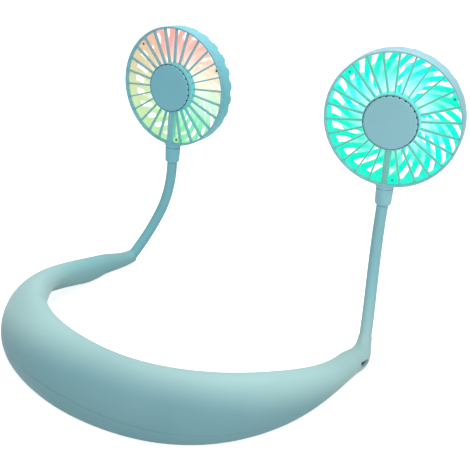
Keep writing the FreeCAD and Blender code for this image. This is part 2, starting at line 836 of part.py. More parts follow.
def rear_housing():
    corner_radius = HEAD_RADIUS - CORNER_WIDTH
    corner_z = BACK_Z + CORNER_DEPTH
    pan = turned([
        (0, BACK_Z), (corner_radius, BACK_Z), (HEAD_RADIUS, corner_z), (HEAD_RADIUS, PARTING_Z),
        (0, PARTING_Z),
    ], RIM_SIDES)
    hollow = turned([
        (0, BACK_INNER_Z), (corner_radius - HEAD_WALL / 2, BACK_INNER_Z), (OPENING_RADIUS, corner_z),
        (OPENING_RADIUS, 0), (0, 0),
    ], SPOKES)
    wall = pan.cut(hollow)
    wall = wall.cut(Part.makeCompound([slot_cut(index) for index in range(SPOKES)]))
    body = wall.multiFuse(posts(corner_z, PARTING_Z) + [boss()])
    foot = Vector(0, BOSS_FOOT_Y, -COLLAR_BACK)
    return body.cut(rod(foot, Vector(0, 1, 0), BOSS_LENGTH * 2, LEAD_HOLE_RADIUS, BORE_SIDES))


def motor():
    can = prism(ring_points(MOTOR_RADIUS, MOTOR_SIDES, MOTOR_BACK_Z), MOTOR_LENGTH)
    bore = prism(ring_points(SHAFT_RADIUS + SHAFT_CLEARANCE, SHAFT_SIDES, MOTOR_BACK_Z),
                 SHAFT_IN_MOTOR + SHAFT_CLEARANCE)
    return can.cut(bore)


def motor_shaft():
    front_z = MOTOR_BACK_Z + SHAFT_IN_MOTOR
    return Part.makeCylinder(SHAFT_RADIUS, front_z - IMPELLER_BACK_Z, Vector(0, 0, IMPELLER_BACK_Z))


def led_board():
    outer = prism(ring_points(HUB_INNER_RADIUS - LED_BOARD_CLEARANCE, LEDS, LED_BACK_Z), LED_BOARD_THICKNESS)
    inner = prism(ring_points(MOTOR_RADIUS + LED_BOARD_THICKNESS, LEDS, LED_BACK_Z), LED_BOARD_THICKNESS)
    return outer.cut(inner)


def leds():
    middle = (MOTOR_RADIUS + HUB_INNER_RADIUS) / 2
    pieces = [bar(360.0 * (index + 0.5) / LEDS, middle - LED_SIZE / 2, middle + LED_SIZE / 2, LED_SIZE,
                  LED_BACK_Z - LED_HEIGHT, LED_BACK_Z) for index in range(LEDS)]
    return Part.makeCompound(pieces)


def blade(index):
    """A flat plate with a pointed end, pitched about its own radius."""
    tip = polar(IMPELLER_RADIUS, BLADE_SPAN / 2)
    root = IMPELLER_HUB_RADIUS - IMPELLER_WALL
    outline = [
        Vector(root, -BLADE_ROOT_WIDTH / 2, 0), Vector(tip.x, -tip.y, 0), Vector(IMPELLER_RADIUS, 0, 0),
        Vector(tip.x, tip.y, 0), Vector(root, BLADE_ROOT_WIDTH / 2, 0),
    ]
    shape = prism(outline, BLADE_THICKNESS)
    shape.translate(Vector(0, 0, -BLADE_THICKNESS / 2))
    shape.rotate(Vector(0, 0, 0), Vector(1, 0, 0), BLADE_PITCH)
    shape.translate(Vector(0, 0, (IMPELLER_FRONT_Z + IMPELLER_BACK_Z) / 2))
    shape.rotate(Vector(0, 0, 0), UP, spoke_angle(0) + 360.0 * index / BLADES)
    return shape


def impeller():
    rim = IMPELLER_HUB_RADIUS - IMPELLER_WALL
    floor_z = IMPELLER_BACK_Z + IMPELLER_WALL
    hub = turned([
        (0, IMPELLER_BACK_Z), (IMPELLER_HUB_RADIUS, IMPELLER_BACK_Z),
        (IMPELLER_HUB_RADIUS, IMPELLER_FRONT_Z), (rim, IMPELLER_FRONT_Z), (rim, floor_z),
        (IMPELLER_BOSS, floor_z), (IMPELLER_BOSS, IMPELLER_FRONT_Z), (0, IMPELLER_FRONT_Z),
    ], IMPELLER_SIDES)
    core = prism(ring_points(IMPELLER_HUB_RADIUS - BLADE_ROOT, IMPELLER_SIDES, BACK_Z), HEAD_DEPTH)
    blades = [blade(index).cut(core) for index in range(BLADES)]
    hole = Part.makeCylinder(SHAFT_RADIUS, HEAD_DEPTH, Vector(0, 0, BACK_Z))
    return hub.multiFuse(blades).cut(hole)


def scent_cap():
    socket = PEG_RADIUS + PEG_CLEARANCE
    ceiling = CAP_PROUD - CAP_TOP
    cap = turned([
        (0, CAP_PROUD), (CAP_RADIUS - CAP_CHAMFER, CAP_PROUD), (CAP_RADIUS, CAP_PROUD - CAP_CHAMFER),
        (CAP_RADIUS, CAP_FOOT_Z), (CAP_RADIUS - CAP_WALL, CAP_FOOT_Z), (CAP_RADIUS - CAP_WALL, ceiling),
        (0, ceiling),
    ], CAP_SIDES)
    socket_ring = turned([
        (socket, CAP_FOOT_Z + CAP_SEAT), (socket + PEG_SOCKET_WALL, CAP_FOOT_Z + CAP_SEAT),
        (socket + PEG_SOCKET_WALL, ceiling), (socket, ceiling),
    ], PEG_SIDES)
    inner = CAP_RADIUS - NOTCH_DEPTH
    outer = CAP_RADIUS + CUT_OVERSHOOT
    notches = [bar(spoke_angle(index), inner, outer, NOTCH_WIDTH, PLATE_Z, CAP_PROUD + CUT_OVERSHOOT)
               for index in range(CAP_NOTCHES)]
    return cap.fuse(socket_ring).cut(Part.makeCompound(notches))


def scent_pad():
    outer = CAP_RADIUS - CAP_WALL - PAD_CLEARANCE
    inner = PEG_RADIUS + PEG_CLEARANCE + PEG_SOCKET_WALL + PAD_CLEARANCE
    top = PLATE_Z + PAD_THICKNESS
    return turned([(inner, PLATE_Z), (outer, PLATE_Z), (outer, top), (inner, top)], PAD_SIDES)


def collar():
    """Ferrule that holds the neck, turned about the neck's own axis with its top at 0."""
    foot_z = -COLLAR_LENGTH - COLLAR_CHAMFER
    bore_top = foot_z + SLEEVE_IN_COLLAR
    bore = SLEEVE_RADIUS + SLEEVE_FIT
    shape = turned([
        (LEAD_HOLE_RADIUS, 0), (COLLAR_TOP_RADIUS, 0), (COLLAR_FOOT_RADIUS, -COLLAR_LENGTH),
        (COLLAR_END_RADIUS, foot_z), (bore, foot_z), (bore, bore_top), (LEAD_HOLE_RADIUS, bore_top),
    ], COLLAR_SIDES)
    foot = Vector(0, BOSS_FOOT_Y, -COLLAR_BACK)
    shape.Placement = frame_placement(foot, Vector(0, 0, -1), Vector(0, 1, 0))
    return shape


def rib_lead():
    """Wire pair from the collar, behind the wide rib, to the light ring."""
    foot_y = COLLAR_FOOT_Y + SLEEVE_IN_COLLAR + LEAD_RADIUS
    points = [
        Vector(0, foot_y, -COLLAR_BACK), Vector(0, -OPENING_RADIUS, -COLLAR_BACK),
        Vector(0, LEAD_BEND - OPENING_RADIUS, LEAD_Z), Vector(0, -LEAD_END_RADIUS, LEAD_Z),
    ]
    return mitred_tube(points, LEAD_RADIUS, WIRE_SIDES)


HEAD_PIECES = {
    "front_grille": front_grille,
    "rear_housing": rear_housing,
    "motor": motor,
    "motor_shaft": motor_shaft,
    "led_board": led_board,
    "leds": leds,
    "impeller": impeller,
    "scent_cap": scent_cap,
    "scent_pad": scent_pad,
    "collar": collar,
    "rib_lead": rib_lead,
}


def main():
    os.makedirs("parts", exist_ok=True)
    upper, lower = build_shells()
    export("band_upper_shell", upper)
    export("band_lower_shell", lower)
    for side_name, side in SIDES.items():
        export("battery_" + side_name, placed(cell(), cell_placement(side)))
        export("harness_" + side_name, harness(side_name))
        for name, shape in neck_pieces(side_name).items():
            export(side_name + "_" + name, shape)
    export("main_board", main_board())
    export("board_parts", board_parts())
    export("usb_port", usb_port())
    export("usb_board", usb_board())
    export("power_button", power_button())
    print("button axis", [round(value, 6) for value in Station(BUTTON_SHARE, -1).outward])
    export("button_switch", button_switch())
    export("button_board", button_board())
    for name, build in HEAD_PIECES.items():
        shape = build()
        for side_name in SIDES:
            export(side_name + "_" + name, placed(shape, head_placement(side_name)))


main()
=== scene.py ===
# %% [markdown]
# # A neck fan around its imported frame
# The fan is a hollow band with two bendable necks and two lit fan heads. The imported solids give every
# place and size, so this script only adds what solids leave out: smooth skins, moulded edges, finishes
# and light.

# %% Load the frame
import math

import bmesh
import bpy
import numpy as np
from mathutils import Matrix, Vector


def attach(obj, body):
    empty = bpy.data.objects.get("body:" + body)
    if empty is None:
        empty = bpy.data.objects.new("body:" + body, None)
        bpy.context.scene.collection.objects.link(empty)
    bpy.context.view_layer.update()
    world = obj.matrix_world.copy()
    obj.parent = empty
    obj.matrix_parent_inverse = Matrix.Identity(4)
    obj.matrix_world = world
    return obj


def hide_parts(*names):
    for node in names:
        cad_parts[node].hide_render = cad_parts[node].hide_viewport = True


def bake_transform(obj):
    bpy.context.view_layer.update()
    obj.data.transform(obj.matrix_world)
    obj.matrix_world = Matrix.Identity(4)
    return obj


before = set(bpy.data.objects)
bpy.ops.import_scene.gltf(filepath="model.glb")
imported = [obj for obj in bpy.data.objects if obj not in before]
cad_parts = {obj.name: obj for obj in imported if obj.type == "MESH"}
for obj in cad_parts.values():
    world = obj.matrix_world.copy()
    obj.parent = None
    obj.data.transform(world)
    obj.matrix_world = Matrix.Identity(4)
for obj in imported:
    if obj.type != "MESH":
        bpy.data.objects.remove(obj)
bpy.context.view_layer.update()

MM = 0.001


def by_side(right, left):
    """A value for each half of the fan."""
    return {"right": right, "left": left}


SIDES = by_side(1, -1)
scene = bpy.context.scene
scene.view_settings.view_transform = "Standard"

# %% [markdown]
# ## The camera
# The photograph was solved for its camera from the two round rims, the caps and the outline of the band.
# A camera object is set straight from the three directions of that solution, because a tracking
# constraint would lose the small roll of the picture.

# %% Camera
EYE = Vector((0.27114, -0.19923, 0.24532))
CAMERA_RIGHT = Vector((0.776422, 0.629979, 0.017172))
CAMERA_UP = Vector((-0.270029, 0.307932, 0.912284))
CAMERA_BACK = Vector((0.569432, -0.712954, 0.409197))
PHOTO_WIDTH = 470
FOCAL_PIXELS = 757.5
NEAREST = 0.01

camera = bpy.data.objects.new("photo_camera", bpy.data.cameras.new("photo_camera"))
camera.data.sensor_fit = "HORIZONTAL"
camera.data.lens = camera.data.sensor_width * FOCAL_PIXELS / PHOTO_WIDTH
camera.data.clip_start = NEAREST
camera.data.dof.use_dof = False
turn = Matrix((CAMERA_RIGHT, CAMERA_UP, CAMERA_BACK)).transposed().to_4x4()
camera.matrix_world = Matrix.Translation(EYE) @ turn
scene.collection.objects.link(camera)
scene.camera = camera
print("camera lens", round(camera.data.lens, 2), "mm")

# %% [markdown]
# ## Writing nodes as sums
# Shader and geometry trees are easier to read as expressions. A wire stands for one output socket, and
# the operators on it add Math nodes. One method makes any other node: settings first, then its sockets.


# %% Wires
class Wire:
    """One output socket, usable in sums, products and powers."""

    def __init__(self, tree, socket):
        self.tree = tree
        self.socket = socket

    def maths(self, operation, *values):
        return self.tree.node("ShaderNodeMath", {"operation": operation}, values)

    def __add__(self, other):
        return self.maths("ADD", self, other)

    __radd__ = __add__

    def __sub__(self, other):
        return self.maths("SUBTRACT", self, other)

    def __rsub__(self, other):
        return self.maths("SUBTRACT", other, self)

    def __mul__(self, other):
        return self.maths("MULTIPLY", self, other)

    __rmul__ = __mul__

    def __truediv__(self, other):
        return self.maths("DIVIDE", self, other)

    def __rtruediv__(self, other):
        return self.maths("DIVIDE", other, self)

    def __pow__(self, other):
        return self.maths("POWER", self, other)


print("wires are ready")


# %% Trees
class Tree:
    """A node tree under construction."""

    def __init__(self, nodes):
        self.nodes = nodes

    def node(self, kind, settings=None, inputs=(), output=0):
        made = self.nodes.nodes.new(kind)
        for key, value in (settings or {}).items():
            setattr(made, key, value)
        pairs = inputs.items() if isinstance(inputs, dict) else enumerate(inputs)
        for key, value in pairs:
            self.feed(made.inputs[key], value)
        return Wire(self, made.outputs[output])

    def feed(self, socket, value):
        if isinstance(value, Wire):
            self.nodes.links.new(value.socket, socket)
        else:
            socket.default_value = value

    def vector(self, operation, *values, output=0):
        return self.node("ShaderNodeVectorMath", {"operation": operation}, values, output)

    def parts(self, vector):
        """The three numbers of a vector."""
        split = self.node("ShaderNodeSeparateXYZ", {}, (vector,)).socket.node
        return [Wire(self, output) for output in split.outputs]


print("trees are ready")

# %% [markdown]
# ## Finishes
# A finish is a material with one Principled shader. Constants go straight on its sockets, and only what
# changes over a surface is linked. Patterns read Object coordinates, which are metres in the frame, so
# they stay on a piece when its body moves.


# %% Finish builder
class Finish(Tree):
    """A material whose Principled shader gets its constants first and its patterns later."""

    def __init__(self, name, **constants):
        self.material = bpy.data.materials.new(name)
        self.material.use_nodes = True
        super().__init__(self.material.node_tree)
        self.shader = self.nodes.nodes["Principled BSDF"]
        for label, value in constants.items():
            self.shader.inputs[label.replace("_", " ")].default_value = value
        self.place = self.node("ShaderNodeTexCoord", output="Object")

    def surface(self, **links):
        for label, value in links.items():
            self.feed(self.shader.inputs[label.replace("_", " ")], value)
        return self.material

    def noise(self, size, detail=2.0, stretch=None):
        place = self.place
        if stretch:
            place = self.vector("MULTIPLY", place, stretch)
        inputs = {"Vector": place, "Scale": 1 / size, "Detail": detail}
        return self.node("ShaderNodeTexNoise", {}, inputs)

    def between(self, value, low, high, start=0.0, end=1.0):
        settings = {"interpolation_type": "SMOOTHSTEP"}
        inputs = {"Value": value, "From Min": low, "From Max": high, "To Min": start, "To Max": end}
        return self.node("ShaderNodeMapRange", settings, inputs)

    def along(self, fade, start, end):
        """A value that changes between two places along a way in the frame."""
        way, low, high = fade
        place = self.vector("DOT_PRODUCT", self.place, way, output="Value")
        return self.between(place, low, high, start, end)

    def mix(self, factor, first, second):
        return self.node("ShaderNodeMix", {"data_type": "RGBA"}, {0: factor, 6: first, 7: second}, output=2)

    def bump(self, height, depth):
        inputs = {"Height": height, "Distance": depth, "Strength": 1.0}
        return self.node("ShaderNodeBump", {}, inputs)


print("finish builder is ready")

# %% [markdown]
# The band, the necks and the heads are matte soft-touch plastic. Its grain is too fine to model, so it is a
# small bump, and a slow noise drifts the tone. The broad fades in the photograph, pale on top and deep
# below, run along a way in the frame, and the deep tone below is painted shade. A fade that follows the
# camera would slide in other views.


# %% Soft-touch plastic
def rgb(red, green, blue):
    return (red, green, blue, 1.0)


def deeper(colour, share=0.93):
    return rgb(*(part * share for part in colour[:3]))


NO_GLOW = rgb(0.0, 0.0, 0.0)
GRAIN, GRAIN_DEPTH = 0.00022, 0.00001
CLOUD = 0.035
DRIFT_SHARE = 0.2
SHADE_STRENGTH = 0.75


def soft_touch(name, light, deep, roughness=0.56, fade=None, shade=None, glow=NO_GLOW):
    """Matte plastic with a fine grain, a slow drift of tone, and painted shade along ways in the frame."""
    finish = Finish(name, Sheen_Weight=0.06, Sheen_Roughness=0.45, Specular_IOR_Level=0.38,
                    Emission_Color=glow, Emission_Strength=1.0)
    drift = finish.noise(CLOUD, 3.0)
    grain = finish.noise(GRAIN)
    depth = finish.between(drift, 0.2, 0.8)
    # The fade is painted shade: towards the low end of its way the colour goes to the deep tone.
    if fade:
        depth = finish.along(fade, 0.95, 0.05) + (drift - 0.5) * DRIFT_SHARE
    colour = finish.mix(depth, light, deep)
    # A painted shade: a second, darker tone laid along another way.
    if shade:
        way, tone = shade
        colour = finish.mix(finish.along(way, 0.0, SHADE_STRENGTH), colour, tone)
    rough = finish.between(drift, 0.3, 0.7, roughness - 0.05, roughness + 0.05) + grain * 0.04
    return finish.surface(Base_Color=colour, Roughness=rough, Normal=finish.bump(grain, GRAIN_DEPTH))


AQUA = rgb(0.370, 0.590, 0.585)
# Painted shade: the band goes to the deep tone towards its bottom, along the way below.
AQUA_PAINTED_SHADE = rgb(0.165, 0.345, 0.390)
# Painted shade: a darker, bluer teal on the far arm, along its own way.
AQUA_FAR_ARM_SHADE = rgb(0.215, 0.510, 0.545)
BAND_PAINTED_SHADE_WAY = ((-0.11, 0.37, 1.0), 0.0195, 0.0405)
FAR_ARM_SHADE_WAY = ((-0.8, 0.6, 0.0), 0.085, 0.140)
BAND_FINISH = soft_touch("band_soft_touch", AQUA, AQUA_PAINTED_SHADE, fade=BAND_PAINTED_SHADE_WAY, shade=(FAR_ARM_SHADE_WAY, AQUA_FAR_ARM_SHADE))
print("matte finish:", BAND_FINISH.name)

# %% [markdown]
# ## Floor and light
# The photograph has a plain white ground and soft light from above. The floor is a pale sheet that adds a
# little white of its own for rays that reach the camera, so that it stays white and keeps the shadow.
# Brighter lamps would whiten it too, but they would wash out the fan.

# %% Stage and lamps
FLOOR_SIZE, FLOOR_DROP = 8.0, 0.0003
FLOOR_TONE = rgb(0.55, 0.55, 0.55)
FLOOR_LIFT = 0.80
SKY = rgb(1.0, 1.0, 1.0)
AMBIENT = 0.32
SOFTBOXES = {
    "top_softbox": ((-0.05, 0.48, 1.20), (0.0, 0.08, 0.05), 0.8, 11.0),
    "right_softbox": ((1.10, -0.10, 0.55), (0.05, 0.10, 0.08), 0.7, 4.0),
    "front_softbox": ((0.25, -1.00, 0.60), (0.0, 0.16, 0.12), 0.6, 4.2),
}


def seen_ray(tree):
    """1 for rays that show the background: to the camera, in gloss and through clear things."""
    path = tree.node("ShaderNodeLightPath").socket.node
    camera_ray, gloss, clear = (Wire(tree, path.outputs[name]) for name in (
        "Is Camera Ray", "Is Glossy Ray", "Is Transmission Ray"))
    return camera_ray.maths("MAXIMUM", camera_ray.maths("MAXIMUM", camera_ray, gloss), clear)


def make_floor():
    sheet = bmesh.new()
    bmesh.ops.create_grid(sheet, x_segments=8, y_segments=8, size=FLOOR_SIZE / 2)
    mesh = bpy.data.meshes.new("floor")
    sheet.to_mesh(mesh)
    sheet.free()
    floor = bpy.data.objects.new("floor", mesh)
    floor.location.z = -FLOOR_DROP
    scene.collection.objects.link(floor)
    finish = Finish("pale_floor")
    matte = finish.node("ShaderNodeBsdfDiffuse", {}, {"Color": FLOOR_TONE})
    lift = finish.node("ShaderNodeEmission", {}, {"Strength": seen_ray(finish) * FLOOR_LIFT})
    both = finish.node("ShaderNodeAddShader", {}, (matte, lift))
    finish.feed(finish.nodes.nodes["Material Output"].inputs["Surface"], both)
    mesh.materials.append(finish.material)


def make_world():
    world = bpy.data.worlds.new("studio")
    world.use_nodes = True
    scene.world = world
    tree = Tree(world.node_tree)
    seen = seen_ray(tree)
    sky = world.node_tree.nodes["Background"]
    sky.inputs["Color"].default_value = SKY
    tree.feed(sky.inputs["Strength"], seen + (1 - seen) * AMBIENT)


def make_softbox(name, place, target, size, power):
    lamp = bpy.data.lights.new(name, "AREA")
    lamp.shape = "SQUARE"
    lamp.size = size
    lamp.energy = power
    box = bpy.data.objects.new(name, lamp)
    way = Vector(target) - Vector(place)
    box.matrix_world = Matrix.Translation(place) @ way.to_track_quat("-Z", "Y").to_matrix().to_4x4()
    scene.collection.objects.link(box)


make_floor()
make_world()
for name, settings in SOFTBOXES.items():
    make_softbox(name, *settings)
print("stage: floor", FLOOR_SIZE, "m,", len(SOFTBOXES), "softboxes")

# %% [markdown]
# ## Mesh helpers
# Turned pieces come from a half profile that is spun round an axis, and long pieces from rings that are
# skinned one after the other. The Screw modifier could spin a profile too, but both kinds are rings of
# points, so one function serves them. Another rounds every corner of a profile, as a mould does.

# %% Rounding, skinning and turning
CORNER_SHARE = 0.45
WELD, FINE_WELD = 1e-6, 1e-7


def softened(points, radius, steps=4, closed=False):
    """The line with its corners rounded, each by a short curve."""
    points = [np.array(point, float) for point in points]
    count = len(points)
    result = []
    for index, corner in enumerate(points):
        if not closed and index in (0, count - 1):
            result.append(corner)
            continue
        ends = []
        for other in (points[index - 1], points[(index + 1) % count]):
            length = np.linalg.norm(other - corner)
            ends.append(corner + (other - corner) / length * min(radius, CORNER_SHARE * length))
        for step in range(steps + 1):
            share = step / steps
            bend = 2 * share * (1 - share) * corner
            result.append((1 - share) ** 2 * ends[0] + bend + share ** 2 * ends[1])
    return result


def skin(shape, rings, wrap=False, ends=True):
    """Quads between neighbouring rings of points. Wrap joins the last ring to the first."""
    made = [[shape.verts.new(point) for point in ring] for ring in rings]
    pairs = list(zip(made, made[1:]))
    if wrap:
        pairs.append((made[-1], made[0]))
    for first, second in pairs:
        for index in range(len(first)):
            after = (index + 1) % len(first)
            shape.faces.new((first[index], first[after], second[after], second[index]))
    if ends:
        shape.faces.new(made[0])
        shape.faces.new(made[-1][::-1])


def joined(shape, name, *finishes):
    """A bmesh as a mesh, with doubles merged and faces turned outward."""
    bmesh.ops.remove_doubles(shape, verts=shape.verts[:], dist=WELD)
    bmesh.ops.recalc_face_normals(shape, faces=shape.faces[:])
    mesh = bpy.data.meshes.new(name)
    shape.to_mesh(mesh)
    shape.free()
    for finish in finishes:
        mesh.materials.append(finish)
    return mesh


def skinned(name, rings, *finishes):
    """Rings of points as a closed skin."""
    shape = bmesh.new()
    skin(shape, rings)
    return joined(shape, name, *finishes)


def turned(name, profile, sides, *finishes, closed=True):
    """A half profile of radius and height in millimetres, spun round z."""
    shape = bmesh.new()
    turns = [2 * math.pi * side / sides for side in range(sides)]
    rings = [[Vector((r * math.cos(turn), r * math.sin(turn), z)) * MM for turn in turns] for r, z in profile]
    skin(shape, rings, wrap=closed, ends=False)
    bmesh.ops.remove_doubles(shape, verts=shape.verts[:], dist=FINE_WELD)
    bmesh.ops.dissolve_degenerate(shape, edges=shape.edges[:], dist=FINE_WELD)
    return joined(shape, name, *finishes)


print("rounding, skinning and turning are ready")

# %% [markdown]
# A piece of the fan is often several meshes with different finishes, so one function merges them. Modifiers
# give walls and bevels, and are applied at once: what the export gets is a plain mesh. The last helper puts
# a mesh on its body, smooth but with its sharp edges kept.

# %% Merging, modifiers and pieces
SMOOTHED = ("SUBSURF", {"levels": 1, "render_levels": 1})


def walled(thickness, **more):
    """A wall of a thickness in millimetres, grown inward from a skin."""
    return "SOLIDIFY", {"thickness": thickness * MM, "offset": -1.0, "use_even_offset": True, **more}


def merged(name, meshes):
    """Several meshes as one, each with its own material."""
    shape = bmesh.new()
    result = bpy.data.meshes.new(name)
    for mesh in meshes:
        for material in mesh.materials:
            if material.name not in [kept.name for kept in result.materials]:
                result.materials.append(material)
    order = {material.name: index for index, material in enumerate(result.materials)}
    for mesh in meshes:
        start = len(shape.faces)
        shape.from_mesh(mesh)
        shape.faces.ensure_lookup_table()
        names = [material.name for material in mesh.materials]
        for face in shape.faces[start:]:
            face.material_index = order[names[face.material_index]]
    shape.to_mesh(result)
    shape.free()
    return result


def settled(holder):
    """The evaluated mesh of a helper object, which is removed."""
    graph = bpy.context.evaluated_depsgraph_get()
    mesh = bpy.data.meshes.new_from_object(holder.evaluated_get(graph), depsgraph=graph)
    mesh.name = holder.name
    bpy.data.objects.remove(holder)
    return mesh


def held(name, data):
    """A helper object in the scene."""
    holder = bpy.data.objects.new(name, data)
    scene.collection.objects.link(holder)
    return holder


def modified(mesh, *modifiers):
    """The mesh after modifiers, given as a type and its settings."""
    holder = held(mesh.name, mesh)
    for index, (kind, settings) in enumerate(modifiers):
        modifier = holder.modifiers.new("step_%d" % index, kind)
        for key, value in settings.items():
            setattr(modifier, key, value)
    return settled(holder)


def piece(name, mesh, body, replaces=(), sharp=40.0, blend=None):
    """A finished mesh as an object at the origin, on its body."""
    mesh.name = name
    mesh.polygons.foreach_set("use_smooth", [True] * len(mesh.polygons))
    mesh.set_sharp_from_angle(angle=math.radians(sharp))
    made = held(name, mesh)
    if blend:
        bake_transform(made)
    else:
        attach(made, body)
    if replaces:
        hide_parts(*replaces)
    return made


print("merging, modifiers and pieces are ready")

# %% [markdown]
# ## Geometry Nodes recipes
# Spokes, swirl slots, blades, screws and tubes repeat or follow a path, so each comes from a small tree
# with named sizes. The tree's result is turned into a plain mesh, because the export drops instances.


# %% Recipe builder
class Recipe(Tree):
    """A Geometry Nodes tree with named inputs."""

    def __init__(self, name, **sizes):
        super().__init__(bpy.data.node_groups.new(name, "GeometryNodeTree"))
        face = self.nodes.interface
        face.new_socket("Geometry", in_out="INPUT", socket_type="NodeSocketGeometry")
        self.sockets = {}
        for label, kind in {**sizes, "Finish": "Material"}.items():
            made = face.new_socket(label.replace("_", " "), in_out="INPUT", socket_type="NodeSocket" + kind)
            self.sockets[label] = made.identifier
        face.new_socket("Geometry", in_out="OUTPUT", socket_type="NodeSocketGeometry")
        self.entry = self.node("NodeGroupInput").socket.node

    def given(self, *labels):
        wires = [Wire(self, self.entry.outputs[label]) for label in labels]
        return wires if len(wires) > 1 else wires[0]

    def position(self):
        return self.parts(self.node("GeometryNodeInputPosition"))

    def whole(self, x, y, z):
        return self.node("ShaderNodeCombineXYZ", {}, (x, y, z))

    def ringed(self, instance, count, first, pitch):
        """Copies turned about z, a pitch apart."""
        points = self.node("GeometryNodePoints", {}, {"Count": count})
        index = self.node("GeometryNodeInputIndex")
        turn = self.whole(0.0, 0.0, first + index * pitch)
        inputs = {"Points": points, "Instance": instance, "Rotation": turn}
        return self.node("GeometryNodeInstanceOnPoints", {}, inputs)

    def close(self, geometry):
        real = self.node("GeometryNodeRealizeInstances", {}, {"Geometry": geometry})
        coat = {"Geometry": real, "Material": self.given("Finish")}
        coated = self.node("GeometryNodeSetMaterial", {}, coat)
        end = self.nodes.nodes.new("NodeGroupOutput")
        self.feed(end.inputs[0], coated)
        return self


def grown(recipe, name, data, **values):
    """The recipe's result on some data, as a plain mesh."""
    holder = held(name, data or bpy.data.meshes.new(name))
    modifier = holder.modifiers.new("recipe", "NODES")
    modifier.node_group = recipe.nodes
    for label, value in values.items():
        modifier[recipe.sockets[label]] = value
    mesh = settled(holder)
    mesh.materials.clear()
    mesh.materials.append(values["Finish"])
    mesh.polygons.foreach_set("material_index", [0] * len(mesh.polygons))
    return mesh


def line_curve(name, points, kind="POLY"):
    """A curve through, or for NURBS towards, some points in metres."""
    curve = bpy.data.curves.new(name, "CURVE")
    curve.dimensions = "3D"
    spline = curve.splines.new(kind)
    spline.points.add(len(points) - 1)
    for target, point in zip(spline.points, points):
        target.co = (*point, 1.0)
    if kind == "NURBS":
        spline.order_u = 3
        spline.use_endpoint_u = True
        spline.resolution_u = 24
    return curve


def profile_curve(name, profile):
    """A half profile in millimetres as a curve in the plane of x and z."""
    return line_curve(name, [(r * MM, 0.0, z * MM) for r, z in profile])


print("recipe builder is ready")

# %% [markdown]
# ## The band
# The band is one U-shaped bar whose oval section grows from the tips to the back and leans outward. A
# curve with a bevel could sweep one section, but its width and thickness would change together, so rings
# of points are worked out and skinned. The centre line is a cubic curve, with a smooth table of sections.

# %% Band plan and sections
BACK_HANDLE, TIP_HANDLE = 117.0, 34.0
TIP = np.array((97.0, 134.0))
TOE_IN = math.radians(2.5)
BAND_SECTIONS = np.array((
    (0.00, 38.5, 21.0, 44.0), (0.15, 38.0, 20.5, 47.0), (0.30, 37.0, 20.5, 50.0), (0.45, 33.5, 21.0, 52.0),
    (0.60, 27.0, 17.5, 54.0), (0.72, 20.0, 15.4, 54.0), (0.84, 15.0, 13.0, 50.0), (0.93, 13.6, 10.8, 45.0),
    (0.97, 12.0, 9.8, 43.0),
))
LAST_SHARE = BAND_SECTIONS[-1, 0]
LINE_STEPS = 2000


def plan_line():
    """Centre line of the right half in plan, with the share of its length at each point."""
    heading = np.array((-math.sin(TOE_IN), math.cos(TOE_IN)))
    poles = [np.zeros(2), np.array((BACK_HANDLE, 0.0)), TIP - heading * TIP_HANDLE, TIP]
    share = np.linspace(0, 1, LINE_STEPS + 1)[:, None]
    weights = [(1 - share) ** 3, 3 * share * (1 - share) ** 2, 3 * share ** 2 * (1 - share), share ** 3]
    line = sum(weight * pole for weight, pole in zip(weights, poles))
    length = np.concatenate([[0], np.cumsum(np.linalg.norm(np.diff(line, axis=0), axis=1))])
    return line, length / length[-1]


def smooth_table(knots, values):
    """A natural cubic spline through the rows of a table."""
    gaps = np.diff(knots)
    slopes = np.diff(values, axis=0) / gaps[:, None]
    count = len(knots)
    system = np.eye(count)
    right = np.zeros_like(values)
    for row in range(1, count - 1):
        system[row, row - 1:row + 2] = gaps[row - 1], 2 * (gaps[row - 1] + gaps[row]), gaps[row]
        right[row] = 6 * (slopes[row] - slopes[row - 1])
    bend = np.linalg.solve(system, right)

    def value(at):
        cell = int(np.clip(np.searchsorted(knots, at) - 1, 0, count - 2))
        gap, left, ahead = gaps[cell], knots[cell + 1] - at, at - knots[cell]
        curve = (bend[cell] * left ** 3 + bend[cell + 1] * ahead ** 3) / (6 * gap)
        low = (values[cell] / gap - bend[cell] * gap / 6) * left
        return curve + low + (values[cell + 1] / gap - bend[cell + 1] * gap / 6) * ahead

    return value


PLAN, PLAN_SHARE = plan_line()
MIRRORED = np.concatenate([BAND_SECTIONS[:0:-1] * (-1, 1, 1, 1), BAND_SECTIONS])
SECTION = smooth_table(MIRRORED[:, 0], MIRRORED[:, 1:])
print("band sections:", len(BAND_SECTIONS), "for each half")

# %% [markdown]
# A station is one cross section of the right half. The left half is its mirror image, so only one half is
# worked out. A station also knows where the two shells part on the outside: high at the back of the band
# and low at its tips.

# %% Band stations
ARM_LIFT, LIFT_SKEW = 2.2, 1.5
REST_FLAT = 0.5
BACK_SEAM, TIP_SEAM = math.radians(50.0), math.radians(26.7)
SEAM_RUN = 0.8
STATION_STEP = 0.004


def half_sizes(share):
    width, thickness, tilt = SECTION(min(share, LAST_SHARE))
    return width / 2, thickness / 2, math.radians(tilt)


def band_centre(share):
    a, b, tilt = half_sizes(share)
    x, y = (np.interp(share, PLAN_SHARE, PLAN[:, axis]) for axis in (0, 1))
    a0, b0, tilt0 = half_sizes(0.0)
    set_back = (a0 * a0 - b0 * b0) * math.sin(tilt0) * math.cos(tilt0)
    set_back /= math.hypot(a0 * math.sin(tilt0), b0 * math.cos(tilt0))
    rise = math.hypot(a * math.sin(tilt), b * math.cos(tilt)) - REST_FLAT
    return np.array((x, y + set_back, rise + ARM_LIFT * math.sin(math.pi * share ** LIFT_SKEW)))


def eased(s, start=0.0, end=0.0):
    """From 0 to 1 along a cubic with a given slope at both ends."""
    return start * (s ** 3 - 2 * s * s + s) + 3 * s * s - 2 * s ** 3 + end * (s ** 3 - s * s)


